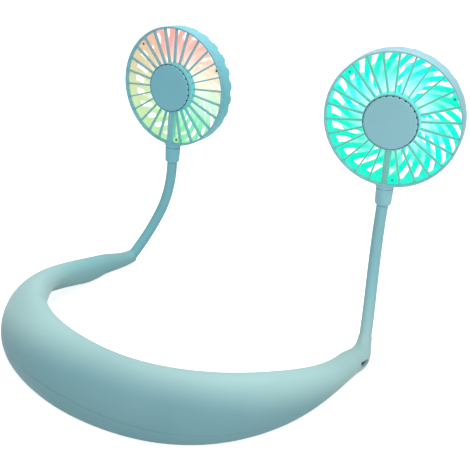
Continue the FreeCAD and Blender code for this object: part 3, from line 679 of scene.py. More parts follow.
class Station:
    """A cross section of the right half: centre, and half axes along the broad and the thin way."""

    def __init__(self, share):
        ahead, behind = min(share + STATION_STEP, 1.0), max(share - STATION_STEP, 0.0)
        along = band_centre(ahead) - band_centre(behind)
        if share < STATION_STEP:
            along = np.array((1.0, 0.0, 0.0))
        self.along = along / np.linalg.norm(along)
        outward = np.array((self.along[1], -self.along[0], 0.0))
        self.outward = outward / np.linalg.norm(outward)
        self.upward = np.cross(self.outward, self.along)
        self.half_broad, self.half_thin, tilt = half_sizes(share)
        self.broad = self.outward * math.cos(tilt) - self.upward * math.sin(tilt)
        self.thin = self.outward * math.sin(tilt) + self.upward * math.cos(tilt)
        self.centre = band_centre(share)
        self.seam = BACK_SEAM + (TIP_SEAM - BACK_SEAM) * eased(min(share / SEAM_RUN, 1.0))


print("band back section centre", Station(0.0).centre.round(2), "mm")

# %% [markdown]
# ## Where the heads are
# Each head has its own axes, x to its right, y up and z out of the grille, with the middle of its rim as
# the origin. Everything in a head is built in these axes and then put in place by one matrix. An empty
# could carry the pieces instead, but a finished piece stays at the origin, with its place in its mesh.

# %% Head places
HEADS = by_side(
    {"centre": (78.3, 181.8, 129.9), "facing": 15.2, "tilt": -3.0, "roll": 1.8},
    {"centre": (-80.4, 169.5, 126.0), "facing": 7.9, "tilt": 2.5, "roll": 3.7})


def head_matrix(side):
    """From a head's own axes to the frame, in metres."""
    head = HEADS[side]
    facing, tilt, roll = (math.radians(head[key]) for key in ("facing", "tilt", "roll"))
    normal = Vector((math.sin(facing) * math.cos(tilt), -math.cos(facing) * math.cos(tilt), math.sin(tilt)))
    level = Vector((math.cos(facing), math.sin(facing), 0.0))
    rise = normal.cross(level) * math.cos(roll) + level * math.sin(roll)
    turn = Matrix((rise.cross(normal), rise, normal)).transposed().to_4x4()
    return Matrix.Translation(Vector(head["centre"]) * MM) @ turn


print("heads at", [head["centre"] for head in HEADS.values()])

# %% [markdown]
# ## The line of the necks
# A neck leaves the tip of the band at a set angle and enters the collar along the head's own upright. Two
# more control points lie near those two directions, so a smooth line of second degree follows the bend.
# The two necks hang a little differently in the photograph, so each has its own runs and sway.

# %% Neck lines
EXIT_ANGLE = math.radians(42.0)
TIP_RISE = 2.4
SLEEVE_IN_TIP, SLEEVE_IN_COLLAR = 4.0, 5.0
COLLAR_FOOT = (0.0, -55.9, -6.0)
NECK_RUNS = by_side((3.0, 20.0), (18.0, 18.0))
NECK_SWAY = by_side(((-1.3, -0.6, 0.1), (-0.9, -0.4, 0.1)), ((1.0, 3.6, -1.5), (0.8, 0.8, 0.0)))


def tip_exit(side):
    """Where a neck leaves the band, and its way there."""
    ahead = Station(1.0).along
    heading = Vector((ahead[0], ahead[1], 0.0)).normalized()
    way = heading * math.cos(EXIT_ANGLE) + Vector((0, 0, math.sin(EXIT_ANGLE)))
    turn = Vector((SIDES[side], 1, 1))
    return (Vector(band_centre(1.0)) + Vector((0, 0, TIP_RISE))) * turn, way * turn


def neck_line(side):
    """Control points of a neck, its way out of the tip, and its place and way at the collar."""
    leave, first = tip_exit(side)
    place = head_matrix(side)
    enter = place @ (Vector(COLLAR_FOOT) * MM) / MM
    last = (place.to_3x3() @ Vector((0, 1, 0))).normalized()
    first_run, last_run = NECK_RUNS[side]
    low, high = (Vector(sway) for sway in NECK_SWAY[side])
    points = [leave - first * SLEEVE_IN_TIP + low / 3, leave + first * first_run + low,
              enter - last * last_run + high, enter + last * SLEEVE_IN_COLLAR]
    return points, first, enter, last


print("neck control points:", [[round(value, 1) for value in point] for point in neck_line("right")[0]])

# %% [markdown]
# Each tip of the band sweeps up into a short sheath round the neck. A cubic curve carries the last section
# into that sheath while its oval turns round, which gives the hollow curve that the photograph shows. The
# inner underside of the arms is flatter than an oval, so each ring also carries a lift for it.

# %% Band rings
SLEEVE_RADIUS = 3.55
SHEATH_RADIUS = by_side(3.95, 4.5)
SHEATH_PLACE = by_side(0.40, 0.03)
SHEATH_LEAN = by_side(1.0, 0.3)
SWEEP_SHARE = by_side(0.89, 0.86)
SWEEP_SLOPES = by_side((0.5, 0.3), (1.0, 1.0))
SWEEP_BULGE = by_side(0.95, 0.0)
BULGE_SKEW, BULGE_DROP = 0.85, 0.6
UNDER_LIFTS = ((0.57, 0.10, 6.5), (0.80, 0.075, -2.6))
SWEEP_STEPS, RING_STEPS = 20, 96


def sheath_end(side):
    """Centre and way of the end of a sheath, mirrored to the right half."""
    points = [np.array(point) * (SIDES[side], 1, 1) for point in neck_line(side)[0]]
    middle = (points[1] + points[2]) / 2
    t = SHEATH_PLACE[side]
    centre = (1 - t) ** 2 * points[0] + 2 * t * (1 - t) * points[1] + t * t * middle
    way = (1 - t) * (points[1] - points[0]) + t * (middle - points[1])
    lean = SHEATH_LEAN[side]
    way = way / np.linalg.norm(way) * lean + Station(1.0).along * (1 - lean)
    return centre, way / np.linalg.norm(way)


def sheath_axes(way, radius):
    near = Station(LAST_SHARE)
    broad = near.broad - way * near.broad.dot(way)
    broad /= np.linalg.norm(broad)
    thin = np.cross(way, broad)
    return broad * radius, (thin if thin.dot(near.thin) > 0 else -thin) * radius


def under_lift(share):
    """How far the inner underside rises at a share of the half length."""
    return sum(lift * math.exp(-((share - middle) / spread) ** 2) for middle, spread, lift in UNDER_LIFTS)


def plain_ring(share):
    """Centre, half axes, seam and lift of a section."""
    at = Station(share)
    return at.centre, at.broad * at.half_broad, at.thin * at.half_thin, at.seam, under_lift(share)


def half_rings(side):
    """Rings of one half, mirrored to the right, from the back to the end of the sheath."""
    limit = SWEEP_SHARE[side]
    rings = [plain_ring(limit * step / RING_STEPS) for step in range(RING_STEPS + 1)]
    start = Station(limit)
    end, way = sheath_end(side)
    reach = np.linalg.norm(end - start.centre)
    end_broad, end_thin = sheath_axes(way, SHEATH_RADIUS[side])
    for step in range(1, SWEEP_STEPS + 1):
        s = step / SWEEP_STEPS
        near, far = 1 - eased(s), eased(s)
        centre = near * start.centre + (s ** 3 - 2 * s * s + s) * start.along * reach
        centre = centre + far * end + (s ** 3 - s * s) * way * reach
        ease = eased(s, *SWEEP_SLOPES[side])
        broad = start.broad * start.half_broad * (1 - ease) + end_broad * ease
        thin = start.thin * start.half_thin * (1 - ease) + end_thin * ease
        bulge = SWEEP_BULGE[side] * math.sin(math.pi * s ** BULGE_SKEW) ** 2
        centre = centre + (start.outward - np.array((0.0, 0.0, BULGE_DROP))) * bulge
        broad, thin = (axis * (1 + bulge / np.linalg.norm(axis)) for axis in (broad, thin))
        rings.append((centre, broad, thin, TIP_SEAM, under_lift(limit) * near))
    return rings


def mirrored(ring):
    return tuple(part * (-1, 1, 1) for part in ring[:3]) + ring[3:]


BAND_RINGS = [mirrored(ring) for ring in half_rings("left")[:0:-1]] + half_rings("right")
print("band rings:", len(BAND_RINGS), "right sheath ends at", BAND_RINGS[-1][0].round(1), "mm")

# %% [markdown]
# A shell is a closed C-shaped section: an outer arc, two rounded edges at the parting line and an inner
# arc one wall further in. The underside is pressed flat where the band rests on the table. The seam on
# the inside of the U is finer than the one outside, because nothing shows there in the photograph.

# %% Band shells
BAND_WALL = 1.8
OUTER_SEAM, INNER_SEAM = (0.025, 0.15), (0.01, 0.06)
EDGE_STEPS, ARC_STEPS, INNER_STEPS = 4, 36, 16
EDGE_LIMIT = 0.6
SLEEVE_FIT = 0.1
SHRINK = 0.9935
UNDER_ANGLE = math.radians(290.0)


def seam_edge(angle, sense, speed, seam, limit):
    """Points of a rounded edge beside the parting line: angle and inset, from the line to the skin."""
    gap, edge = seam[0], min(seam[1], limit)
    turns = [math.pi / 2 * step / EDGE_STEPS for step in range(EDGE_STEPS + 1)]
    return [(angle + sense * (gap + edge * (1 - math.cos(turn))) / speed, edge * (1 - math.sin(turn)))
            for turn in turns]


def shell_loop(ring, upper):
    """One closed section of the upper or the lower shell."""
    centre, broad, thin, outer_angle, lift = ring
    a, b = np.linalg.norm(broad), np.linalg.norm(thin)
    wall = min(BAND_WALL, min(a, b) - SLEEVE_RADIUS - SLEEVE_FIT)

    def at(angle, inset):
        point = centre + broad * (SHRINK - inset / a) * math.cos(angle)
        point = point + thin * (SHRINK - inset / b) * math.sin(angle)
        point[2] = max(point[2] + lift * max(0.0, math.cos(angle - UNDER_ANGLE)) ** 2, 0.0)
        return Vector(point * MM)

    def speed(angle):
        return math.hypot(a * math.sin(angle), b * math.cos(angle))

    first, last = (outer_angle, math.pi) if upper else (math.pi, 2 * math.pi + outer_angle)
    seams = (OUTER_SEAM, INNER_SEAM) if upper else (INNER_SEAM, OUTER_SEAM)
    start = seam_edge(first, 1, speed(first), seams[0], wall * EDGE_LIMIT)
    end = seam_edge(last, -1, speed(last), seams[1], wall * EDGE_LIMIT)
    middle = np.linspace(start[-1][0], end[-1][0], ARC_STEPS)[1:-1]
    outer = start + [(angle, 0.0) for angle in middle] + end[::-1]
    inner = [(angle, wall) for angle in np.linspace(end[0][0], start[0][0], INNER_STEPS)]
    return [at(angle, inset) for angle, inset in outer + inner]


upper_mesh = skinned("band_upper", [shell_loop(ring, True) for ring in BAND_RINGS], BAND_FINISH)
lower_mesh = skinned("band_lower", [shell_loop(ring, False) for ring in BAND_RINGS], BAND_FINISH)
print("band shells:", len(upper_mesh.polygons), "and", len(lower_mesh.polygons), "faces")

# %% [markdown]
# The charging port sits in the outer side of the right tip and the power button in the left one. A
# Boolean cuts their openings with rounded bars, because a real opening shows depth from every side.

# %% Port and button openings
PORT_SHARE, PORT_LENGTH, PORT_HEIGHT, PORT_CORNER = 0.925, 7.9, 3.1, 0.9
BUTTON_SHARE, BUTTON_LENGTH, BUTTON_HEIGHT = 0.90, 7.6, 4.2
CUT_DEPTH = 3.4
CUT_STEPS = 6


def opening(share, side, length, height, corner):
    """A rounded bar that points out of the band at a share of its half length."""
    x, y = length / 2, height / 2
    outline = softened([(-x, -y), (x, -y), (x, y), (-x, y)], corner, CUT_STEPS, closed=True)
    station = Station(share)
    reach = 1 / math.hypot(station.broad.dot(station.outward) / station.half_broad,
                           station.thin.dot(station.outward) / station.half_thin)
    rings = []
    for depth in (-CUT_DEPTH, CUT_DEPTH):
        centre = station.centre + station.outward * (reach + depth)
        ring = [centre + station.along * x + station.upward * y for x, y in outline]
        rings.append([Vector((point[0] * side, point[1], point[2])) * MM for point in ring])
    return held("cutter", skinned("cutter", rings))


for cutter in (opening(PORT_SHARE, SIDES["right"], PORT_LENGTH, PORT_HEIGHT, PORT_CORNER),
               opening(BUTTON_SHARE, SIDES["left"], BUTTON_LENGTH, BUTTON_HEIGHT, BUTTON_HEIGHT / 2)):
    cut = {"operation": "DIFFERENCE", "object": cutter, "solver": "EXACT"}
    upper_mesh = modified(upper_mesh, ("BOOLEAN", cut))
    bpy.data.objects.remove(cutter)
piece("band_upper", upper_mesh, "band", ["band_upper_shell"])
piece("band_lower", lower_mesh, "band", ["band_lower_shell"])
print("band upper shell with openings:", len(upper_mesh.polygons), "faces")

# %% [markdown]
# ## Metals, boards and wires
# These sit inside and show only through gaps, or when a cap is lifted, but each still gets its own
# finish: brushed streaks on metal, a fine weave under the solder mask, crinkles on the cell foil. The
# solids keep their shapes, so a better material on their slots is enough.

# %% Inner finishes
STREAK, STREAK_DEPTH = 0.0009, 0.000015
WEAVE, CLOTH = 900.0, 0.004
SPECK, FELT_DEPTH = 0.0004, 0.00012


def metal(name, colour, dark, roughness, streak):
    finish = Finish(name, Metallic=1.0)
    streaks = finish.noise(STREAK, 4.0, streak)
    tone = finish.mix(finish.between(streaks, 0.3, 0.7), colour, dark)
    rough = finish.between(streaks, 0.25, 0.75, roughness - 0.08, roughness + 0.08)
    return finish.surface(Base_Color=tone, Roughness=rough, Normal=finish.bump(streaks, STREAK_DEPTH))


def board(name):
    finish = Finish(name, Coat_Weight=0.3, Coat_Roughness=0.2)
    threads = {"Vector": finish.place, "Scale": WEAVE, "Distortion": 0.4}
    weave = finish.node("ShaderNodeTexWave", {"wave_type": "BANDS"}, threads)
    tone = finish.mix(weave * 0.35 + finish.noise(CLOTH) * 0.4, rgb(0.02, 0.16, 0.07), rgb(0.04, 0.26, 0.12))
    return finish.surface(Base_Color=tone, Roughness=finish.between(weave, 0.0, 1.0, 0.35, 0.45),
                          Normal=finish.bump(weave, GRAIN_DEPTH))


def grained(name, light, dark, roughness, size=SPECK, depth=GRAIN_DEPTH):
    finish = Finish(name)
    grain = finish.noise(size, 3.0)
    share = finish.between(grain, 0.3, 0.7)
    rough = finish.between(grain, 0.3, 0.7, roughness - 0.06, roughness + 0.06)
    return finish.surface(Base_Color=finish.mix(share, light, dark), Roughness=rough,
                          Normal=finish.bump(grain, depth))


STEEL = metal("core_wire_steel", rgb(0.60, 0.60, 0.61), rgb(0.46, 0.46, 0.48), 0.34, (1.0, 1.0, 0.1))
PORT_STEEL = metal("port_shell_steel", rgb(0.52, 0.53, 0.55), rgb(0.40, 0.41, 0.43), 0.36, (0.2, 1.0, 1.0))
MOTOR_STEEL = metal("motor_can_zinc", rgb(0.66, 0.67, 0.69), rgb(0.52, 0.53, 0.56), 0.40, (1.0, 1.0, 0.15))
FOIL = metal("cell_pouch_foil", rgb(0.72, 0.73, 0.75), rgb(0.62, 0.63, 0.66), 0.45, (0.2, 0.2, 0.2))
BOARD = board("solder_mask_green")
BLACK = grained("moulded_black", rgb(0.022, 0.022, 0.026), rgb(0.035, 0.035, 0.040), 0.50)
WIRE_RED = grained("wire_insulation_red", rgb(0.42, 0.03, 0.025), rgb(0.34, 0.02, 0.02), 0.42, 0.0012)
FELT = grained("scent_pad_felt", rgb(0.74, 0.72, 0.66), rgb(0.60, 0.58, 0.53), 0.92, depth=FELT_DEPTH)
print("inner finishes:", FOIL.name, BOARD.name, BLACK.name, WIRE_RED.name, FELT.name)

# %% Carried-over nodes
INNER_FINISHES = {
    "battery_left": FOIL, "battery_right": FOIL, "main_board": BOARD, "board_parts": BLACK,
    "usb_port": PORT_STEEL, "usb_board": BOARD, "button_board": BOARD, "button_switch": BLACK,
    "harness_left": WIRE_RED, "harness_right": WIRE_RED, "power_button": BAND_FINISH,
}
for side in SIDES:
    INNER_FINISHES[side + "_motor"] = MOTOR_STEEL
    INNER_FINISHES[side + "_motor_shaft"] = STEEL
    INNER_FINISHES[side + "_led_board"] = BOARD
    INNER_FINISHES[side + "_rib_lead"] = WIRE_RED


def coat(node, material):
    """Gives a carried-over node its finish."""
    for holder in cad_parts[node].material_slots:
        holder.material = material


for node, material in INNER_FINISHES.items():
    coat(node, material)
print("finished", len(INNER_FINISHES), "carried-over nodes")

# %% [markdown]
# ## The necks
# A neck is a soft silicone tube over a bendable wire and a pair of leads. It follows a smooth NURBS line
# from the tip to the head. A bevelled curve could do this too, but in a recipe the radius, the rings and
# the cut are all named inputs. The tube is made in two lengths that meet in the middle: a lower one from
# the band and an upper one to the head.

# %% Neck routes and tubes
NECK_BEND_REACH, HEAD_BEND_REACH = 20.0, 26.0
NECK_CUT = 0.5
TUBE_RINGS = 40
NECK_STRANDS = {
    "sleeve": (SLEEVE_RADIUS, 32, 0.0, "sleeve_aqua"),
    "core": (0.8, 12, -0.9, "core_steel"),
    "lead": (0.7, 12, 0.95, "wire_red"),
}
# The left sleeve is a darker copy of the right one: painted shade.
SLEEVE_AQUA_LEFT_SHADED = by_side(rgb(0.265, 0.570, 0.630), rgb(0.205, 0.525, 0.590))
SLEEVE_FOOT = by_side(AQUA, deeper(SLEEVE_AQUA_LEFT_SHADED["left"]))
SLEEVE_FADE = ((0.0, 0.0, 1.0), 0.010, 0.036)
# The crease under the collar's mouth gets a painted shadow: this far down, and this much darker.
MOUTH_RISE, CREASE_SHADOW_REACH, CREASE_SHADOW_SHARE = 2.3, 1.3, 0.5


def tube_recipe():
    """A round tube along a part of a curve."""
    recipe = Recipe("swept_tube", Radius="Float", Sides="Int", From="Float", To="Float", Rings="Int")
    line, start, end = recipe.given("Geometry", "From", "To")
    span = {"Curve": line, "Start": start, "End": end}
    line = recipe.node("GeometryNodeTrimCurve", {"mode": "FACTOR"}, span)
    line = recipe.node("GeometryNodeResampleCurve", {}, {"Curve": line, "Count": recipe.given("Rings")})
    circle = recipe.node("GeometryNodeCurvePrimitiveCircle", {"mode": "RADIUS"}, {
        "Resolution": recipe.given("Sides"), "Radius": recipe.given("Radius")})
    sweep = {"Curve": line, "Profile Curve": circle, "Fill Caps": True}
    return recipe.close(recipe.node("GeometryNodeCurveToMesh", {}, sweep))


TUBE = tube_recipe()


def sleeve_finish(side, enter, last):
    """Silicone with a painted shadow in the crease under the collar."""
    height = (enter + last * MOUTH_RISE).dot(last) * MM
    crease_shadow = (tuple(last), height - CREASE_SHADOW_REACH * MM, height)
    colour = SLEEVE_AQUA_LEFT_SHADED[side]
    return soft_touch(side + "_sleeve_silicone", colour, SLEEVE_FOOT[side], 0.62, SLEEVE_FADE,
                      (crease_shadow, deeper(colour, CREASE_SHADOW_SHARE)))


def make_neck(side):
    """The sleeve, the wire and the leads of one neck, each in a lower and an upper length."""
    points, first, enter, last = neck_line(side)
    aside = first.cross(last).normalized()
    sheath = Vector(sheath_end(side)[0]) * Vector((SIDES[side], 1, 1))
    lower = (sheath * MM, (sheath + first * NECK_BEND_REACH) * MM)
    upper = ((enter - last * HEAD_BEND_REACH) * MM, enter * MM)
    neck, head = side + "_neck", side + "_head"
    lengths = (("lower", 0.0, NECK_CUT, ("band", neck, *lower)),
               ("upper", NECK_CUT, 1.0, (neck, head, *upper)))
    finishes = {"sleeve": sleeve_finish(side, enter, last), "core": STEEL, "lead": WIRE_RED}
    for strand, (radius, sides, shift, slot) in NECK_STRANDS.items():
        route = [(point + aside * shift) * MM for point in points]
        for part, begin, end, blend in lengths:
            name = "%s_%s_%s" % (side, strand, part)
            mesh = grown(TUBE, name, line_curve(name, route, "NURBS"), Radius=radius * MM, Sides=sides,
                         From=begin, To=end, Rings=TUBE_RINGS, Finish=finishes[strand])
            piece(name, mesh, None, [side + "_neck_" + strand], blend=blend)


for side in SIDES:
    make_neck(side)
print("necks:", len(NECK_STRANDS), "strands on each side, from a recipe of", len(TUBE.nodes.nodes), "nodes")

# %% [markdown]
# ## The light in the heads
# A ring of eight small lamps sits behind the hub and shines on the blades. Real lamps would do in a
# render, but the exported model would lose them, so the light is part of the finishes. Each lamp makes a
# pool of colour, and the pools run into each other: cyan green in the right head, and pink, peach, yellow
# green and teal in the left one. The wash feeds Emission Color, with the strength as a constant, and it is
# also painted lamplight in the Base Color of the chamber and the blades.

# %% Lamp colours
POOL_CIRCLE, POOL_Z = 25.0, -11.0
POOL_REACH, POOL_FALL = 9.0, 3.0
GREEN = (0.0, 1.0, 0.62)
CYAN = (0.0, 0.98, 0.80)
LED_COLOURS = by_side(
    (GREEN, CYAN, GREEN, CYAN, GREEN, GREEN, GREEN, CYAN),
    ((1.0, 0.76, 0.60), (1.0, 0.52, 0.45), (1.0, 0.42, 0.41), (0.80, 0.68, 0.46),
     (0.68, 0.83, 0.48), (0.58, 0.85, 0.48), (0.14, 0.82, 0.46), (0.62, 0.95, 0.72)))


class LitFinish(Finish):
    """A finish that knows a head's own axes, and the lamps' wash of colour there."""

    def __init__(self, side, name, **constants):
        super().__init__(side + "_" + name, **constants)
        matrix = head_matrix(side)
        self.local = self.node("ShaderNodeMapping", {"vector_type": "TEXTURE"}, {
            "Vector": self.place, "Location": matrix.to_translation(), "Rotation": matrix.to_euler()})
        x, y, self.height = self.parts(self.local)
        self.radius = (x * x + y * y) ** 0.5
        self.wash = self.led_wash(LED_COLOURS[side])

    def dimmed(self, colour, factor):
        return self.node("ShaderNodeVectorMath", {"operation": "SCALE"}, {0: colour, "Scale": factor})

    def led_wash(self, colours):
        """Mean colour of the lamps' pools, each weighted by how near it is."""
        lamp_tint, total = None, None
        for index, colour in enumerate(colours):
            angle = 2 * math.pi * (index + 0.5) / len(colours)
            pool = Vector((POOL_CIRCLE * math.cos(angle), POOL_CIRCLE * math.sin(angle), POOL_Z)) * MM
            apart = self.vector("DISTANCE", self.local, pool, output="Value")
            share = 1 / (1 + (apart / (POOL_REACH * MM)) ** POOL_FALL)
            shade = self.dimmed(colour, share)
            lamp_tint = self.vector("ADD", lamp_tint, shade) if lamp_tint else shade
            total = total + share if total else share
        return self.dimmed(lamp_tint, 1 / total)

    def ring(self, inner, outer, start=0.0, end=1.0):
        """A value that changes between two distances from the axis, in millimetres."""
        return self.between(self.radius, inner * MM, outer * MM, start, end)

    def level(self, low, high, start=0.0, end=1.0):
        """A value that changes between two heights along the axis, in millimetres."""
        return self.between(self.height, low * MM, high * MM, start, end)


print("lamp pools:", len(LED_COLOURS["right"]), "per head")

# %% [markdown]
# Four finishes use the wash. The chamber is the inside of the head, with painted lamplight in its colour
# and its glow all over. The blades are clear, with painted lamplight that is brightest at their roots. The
# grille is plain aqua in front and catches light on its depth; its spokes take a painted tint of lamplight,
# and the side of its drum glows with painted lamplight. The lenses are the lamps themselves.

# %% Lit finishes
OPENING_RADIUS = 38.5
HUB_RADIUS, HUB_PROUD = 16.5, 2.75
SPOKE_FRONT, SPOKE_DEPTH = -0.3, 2.7
CHAMBER_SHARE, CHAMBER_POWER = by_side(0.40, 0.50), by_side(0.85, 0.74)
BLADE_SHARE, BLADE_POWER = by_side(0.45, 0.50), by_side(0.78, 0.70)
# Painted lamplight: the blades whiten towards their roots.
ROOT_LAMPLIGHT_SHARE = by_side(0.70, 0.40)
ROOT_LAMPLIGHT_WHITE = rgb(0.85, 1.0, 0.96)
# The left head's aqua is a darker copy of the right one: painted shade.
HEAD_AQUA_LEFT_SHADED = by_side(rgb(0.315, 0.635, 0.710), rgb(0.215, 0.555, 0.655))
GRILLE_GLOW = by_side(0.34, 0.24)
# Painted lamplight: the tint that the spokes take in their base colour.
GRILLE_LAMPLIGHT_TINT = by_side((rgb(0.16, 0.56, 0.44), 0.65), (rgb(0.20, 0.52, 0.56), 0.4))
DRUM_GLOW = by_side(rgb(0.0, 1.0, 0.72), rgb(0.0, 0.80, 0.58))
LENS_POWER = 2.2
RIPPLE, RIPPLE_DEPTH, LENS_RIPPLE = 0.004, 0.00004, 0.0006


def chamber_finish(side):
    finish = LitFinish(side, "chamber_lit", Emission_Strength=CHAMBER_POWER[side], Specular_IOR_Level=0.4)
    grain = finish.noise(GRAIN)
    # Painted lamplight: the chamber's base colour is the lamps' wash.
    tone = finish.dimmed(finish.wash, CHAMBER_SHARE[side] + grain * 0.08)
    light = finish.dimmed(finish.wash, finish.ring(14.0, 44.0, 1.0, 0.80))
    return finish.surface(Base_Color=tone, Emission_Color=light, Roughness=0.42 + grain * 0.1,
                          Normal=finish.bump(grain, GRAIN_DEPTH))


def blade_finish(side):
    finish = LitFinish(side, "blade_clear", Emission_Strength=BLADE_POWER[side],
                       Specular_IOR_Level=0.5, IOR=1.49)
    # Painted lamplight: the blades' colour is the lamps' wash, whitened towards the roots.
    bright = finish.mix(finish.ring(13.0, 29.0, ROOT_LAMPLIGHT_SHARE[side], 0.0), finish.wash, ROOT_LAMPLIGHT_WHITE)
    ripple = finish.noise(RIPPLE)
    tone = finish.dimmed(bright, BLADE_SHARE[side] + ripple * 0.1)
    light = finish.dimmed(bright, finish.ring(12.0, 36.0, 1.25, 0.85))
    alpha = finish.ring(12.0, 34.0, 0.82, 0.50) + ripple * 0.08
    return finish.surface(Base_Color=tone, Alpha=alpha, Emission_Color=light, Roughness=0.18 + ripple * 0.1,
                          Normal=finish.bump(ripple, RIPPLE_DEPTH))


def grille_finish(side):
    finish = LitFinish(side, "grille_aqua", Emission_Strength=GRILLE_GLOW[side], Specular_IOR_Level=0.38)
    depth = finish.level(SPOKE_FRONT - 3.2, SPOKE_FRONT, 1.0, 0.10)
    inside = finish.ring(OPENING_RADIUS - 0.1, OPENING_RADIUS + 0.3, 1.0, 0.0)
    uncovered = finish.ring(HUB_RADIUS - 0.5, HUB_RADIUS - 0.3)
    # Painted lamplight: the side of the drum glows with the lamps' colour.
    drum_side = finish.level(HUB_PROUD - 1.95, HUB_PROUD - 0.25, 1.0, 0.0)
    drum_side = drum_side * finish.ring(HUB_RADIUS - 0.2, HUB_RADIUS)
    drum_side = drum_side * finish.ring(HUB_RADIUS + 0.1, HUB_RADIUS + 0.3, 1.0, 0.0)
    grain = finish.noise(GRAIN)
    lamp_tint, strength = GRILLE_LAMPLIGHT_TINT[side]
    tone = finish.mix(finish.noise(CLOUD, 3.0), HEAD_AQUA_LEFT_SHADED[side], deeper(HEAD_AQUA_LEFT_SHADED[side]))
    # Painted lamplight: inside the opening the spokes take the lamps' tint in their base colour.
    tone = finish.mix(inside * finish.ring(HUB_RADIUS + 0.1, HUB_RADIUS + 0.7, 0.0, strength), tone, lamp_tint)
    light = finish.dimmed(finish.wash, depth * inside * uncovered)
    light = finish.mix(drum_side, light, DRUM_GLOW[side])
    return finish.surface(Base_Color=tone, Emission_Color=light, Roughness=0.50 + grain * 0.08,
                          Normal=finish.bump(grain, GRAIN_DEPTH))


def lens_finish(side):
    finish = LitFinish(side, "led_lens", Emission_Strength=LENS_POWER, Roughness=0.15)
    ripple = finish.noise(LENS_RIPPLE, 1.0)
    tone = finish.mix(ripple, rgb(0.85, 0.9, 0.9), rgb(0.95, 0.97, 0.97))
    return finish.surface(Base_Color=tone, Emission_Color=finish.wash,
                          Normal=finish.bump(ripple, GRAIN_DEPTH))


CHAMBER_FINISHES = {side: chamber_finish(side) for side in SIDES}
for side in SIDES:
    coat(side + "_leds", lens_finish(side))
print("lit lamps and chambers:", [finish.name for finish in CHAMBER_FINISHES.values()])

# %% [markdown]
# The outside of a head is the same soft-touch plastic as the band, a little bluer, and darker on the left
# head as painted shade. The wall of the left head, which is seen from the side, takes on a painted green
# glow from its lamps.

# %% Head skins
HEAD_ROUGHNESS = 0.52
WALL_SHARE = 0.86
WALL_GLOW = by_side(NO_GLOW, rgb(0.0, 0.085, 0.070))
HEAD_FINISHES, WALL_FINISHES = {}, {}
for side, colour in HEAD_AQUA_LEFT_SHADED.items():
    name = side + "_head_soft_touch"
    HEAD_FINISHES[side] = soft_touch(name, colour, deeper(colour), HEAD_ROUGHNESS)
    name = side + "_wall_soft_touch"
    WALL_FINISHES[side] = soft_touch(name, deeper(colour), deeper(colour, WALL_SHARE), HEAD_ROUGHNESS,
                                     glow=WALL_GLOW[side])
print("head skins:", [finish.name for finish in (*HEAD_FINISHES.values(), *WALL_FINISHES.values())])

# %% [markdown]
# ## Grille, drum and screws
# The front grille is a thin rim, twenty-five narrow spokes and one wide rib over the wires, all running
# into a round drum. An Array modifier could repeat the spokes, but a recipe also takes the gap for the rib
# and the thin walls behind it, with angle, pitch and sizes as inputs.

# %% Spoke ring recipe
SPOKES = 26
PITCH = 2 * math.pi / SPOKES
DOWN = -math.pi / 2
SPOKE_WIDTH, RIB_WIDTH = 0.9, 3.6
HUB_LAP, RIM_LAP = 0.6, 0.75
CHANNEL_WALL, CHANNEL_DEPTH, CHANNEL_LAP = 0.5, 2.6, 0.1
EDGE = ("BEVEL", {"width": 0.22 * MM, "segments": 2, "limit_method": "ANGLE"})


def bars_recipe():
    """Bars that point outward from the axis, in a ring or part of one."""
    recipe = Recipe("ring_of_bars", Count="Int", First="Float", Pitch="Float", Inner="Float", Outer="Float",
                    Width="Float", Depth="Float", Front="Float")
    inner, outer, width, depth, front = recipe.given("Inner", "Outer", "Width", "Depth", "Front")
    size = recipe.whole(outer - inner, width, depth)
    box = recipe.node("GeometryNodeMeshCube", {}, {"Size": size, "Vertices X": 6})
    middle = recipe.whole((inner + outer) / 2, 0.0, front - depth / 2)
    bar = recipe.node("GeometryNodeTransform", {}, {"Geometry": box, "Translation": middle})
    return recipe.close(recipe.ringed(bar, *recipe.given("Count", "First", "Pitch")))


BARS = bars_recipe()


def spoke_bars(side, finish):
    """The spokes, the wide rib and the walls of the channel behind it, in the head's own axes."""
    front = {"Depth": SPOKE_DEPTH * MM, "Front": SPOKE_FRONT * MM}
    behind = {"Depth": CHANNEL_DEPTH * MM, "Front": (SPOKE_FRONT - SPOKE_DEPTH + CHANNEL_LAP) * MM}
    aside = (RIB_WIDTH - CHANNEL_WALL) / 2
    rows = ((SPOKES - 1, DOWN + PITCH, SPOKE_WIDTH, 0.0, front), (1, DOWN, RIB_WIDTH, 0.0, front),
            (1, DOWN, CHANNEL_WALL, -aside, behind), (1, DOWN, CHANNEL_WALL, aside, behind))
    meshes = []
    for count, first, width, shift, depth in rows:
        mesh = grown(BARS, side + "_bars", None, Count=count, First=first, Pitch=PITCH, Width=width * MM,
                     Inner=(HUB_RADIUS - HUB_LAP) * MM, Outer=(OPENING_RADIUS + RIM_LAP) * MM,
                     Finish=finish, **depth)
        mesh.transform(Matrix.Translation((shift * MM, 0.0, 0.0)))
        meshes.append(modified(mesh, EDGE))
    return meshes


print("spoke recipe:", len(BARS.nodes.nodes), "nodes")

# %% [markdown]
# Three posts between the spokes hold the grille to the housing. Each has a deep hole with a small screw
# at the bottom, which reads as a dark dot. One recipe sets both posts and screws on three points.

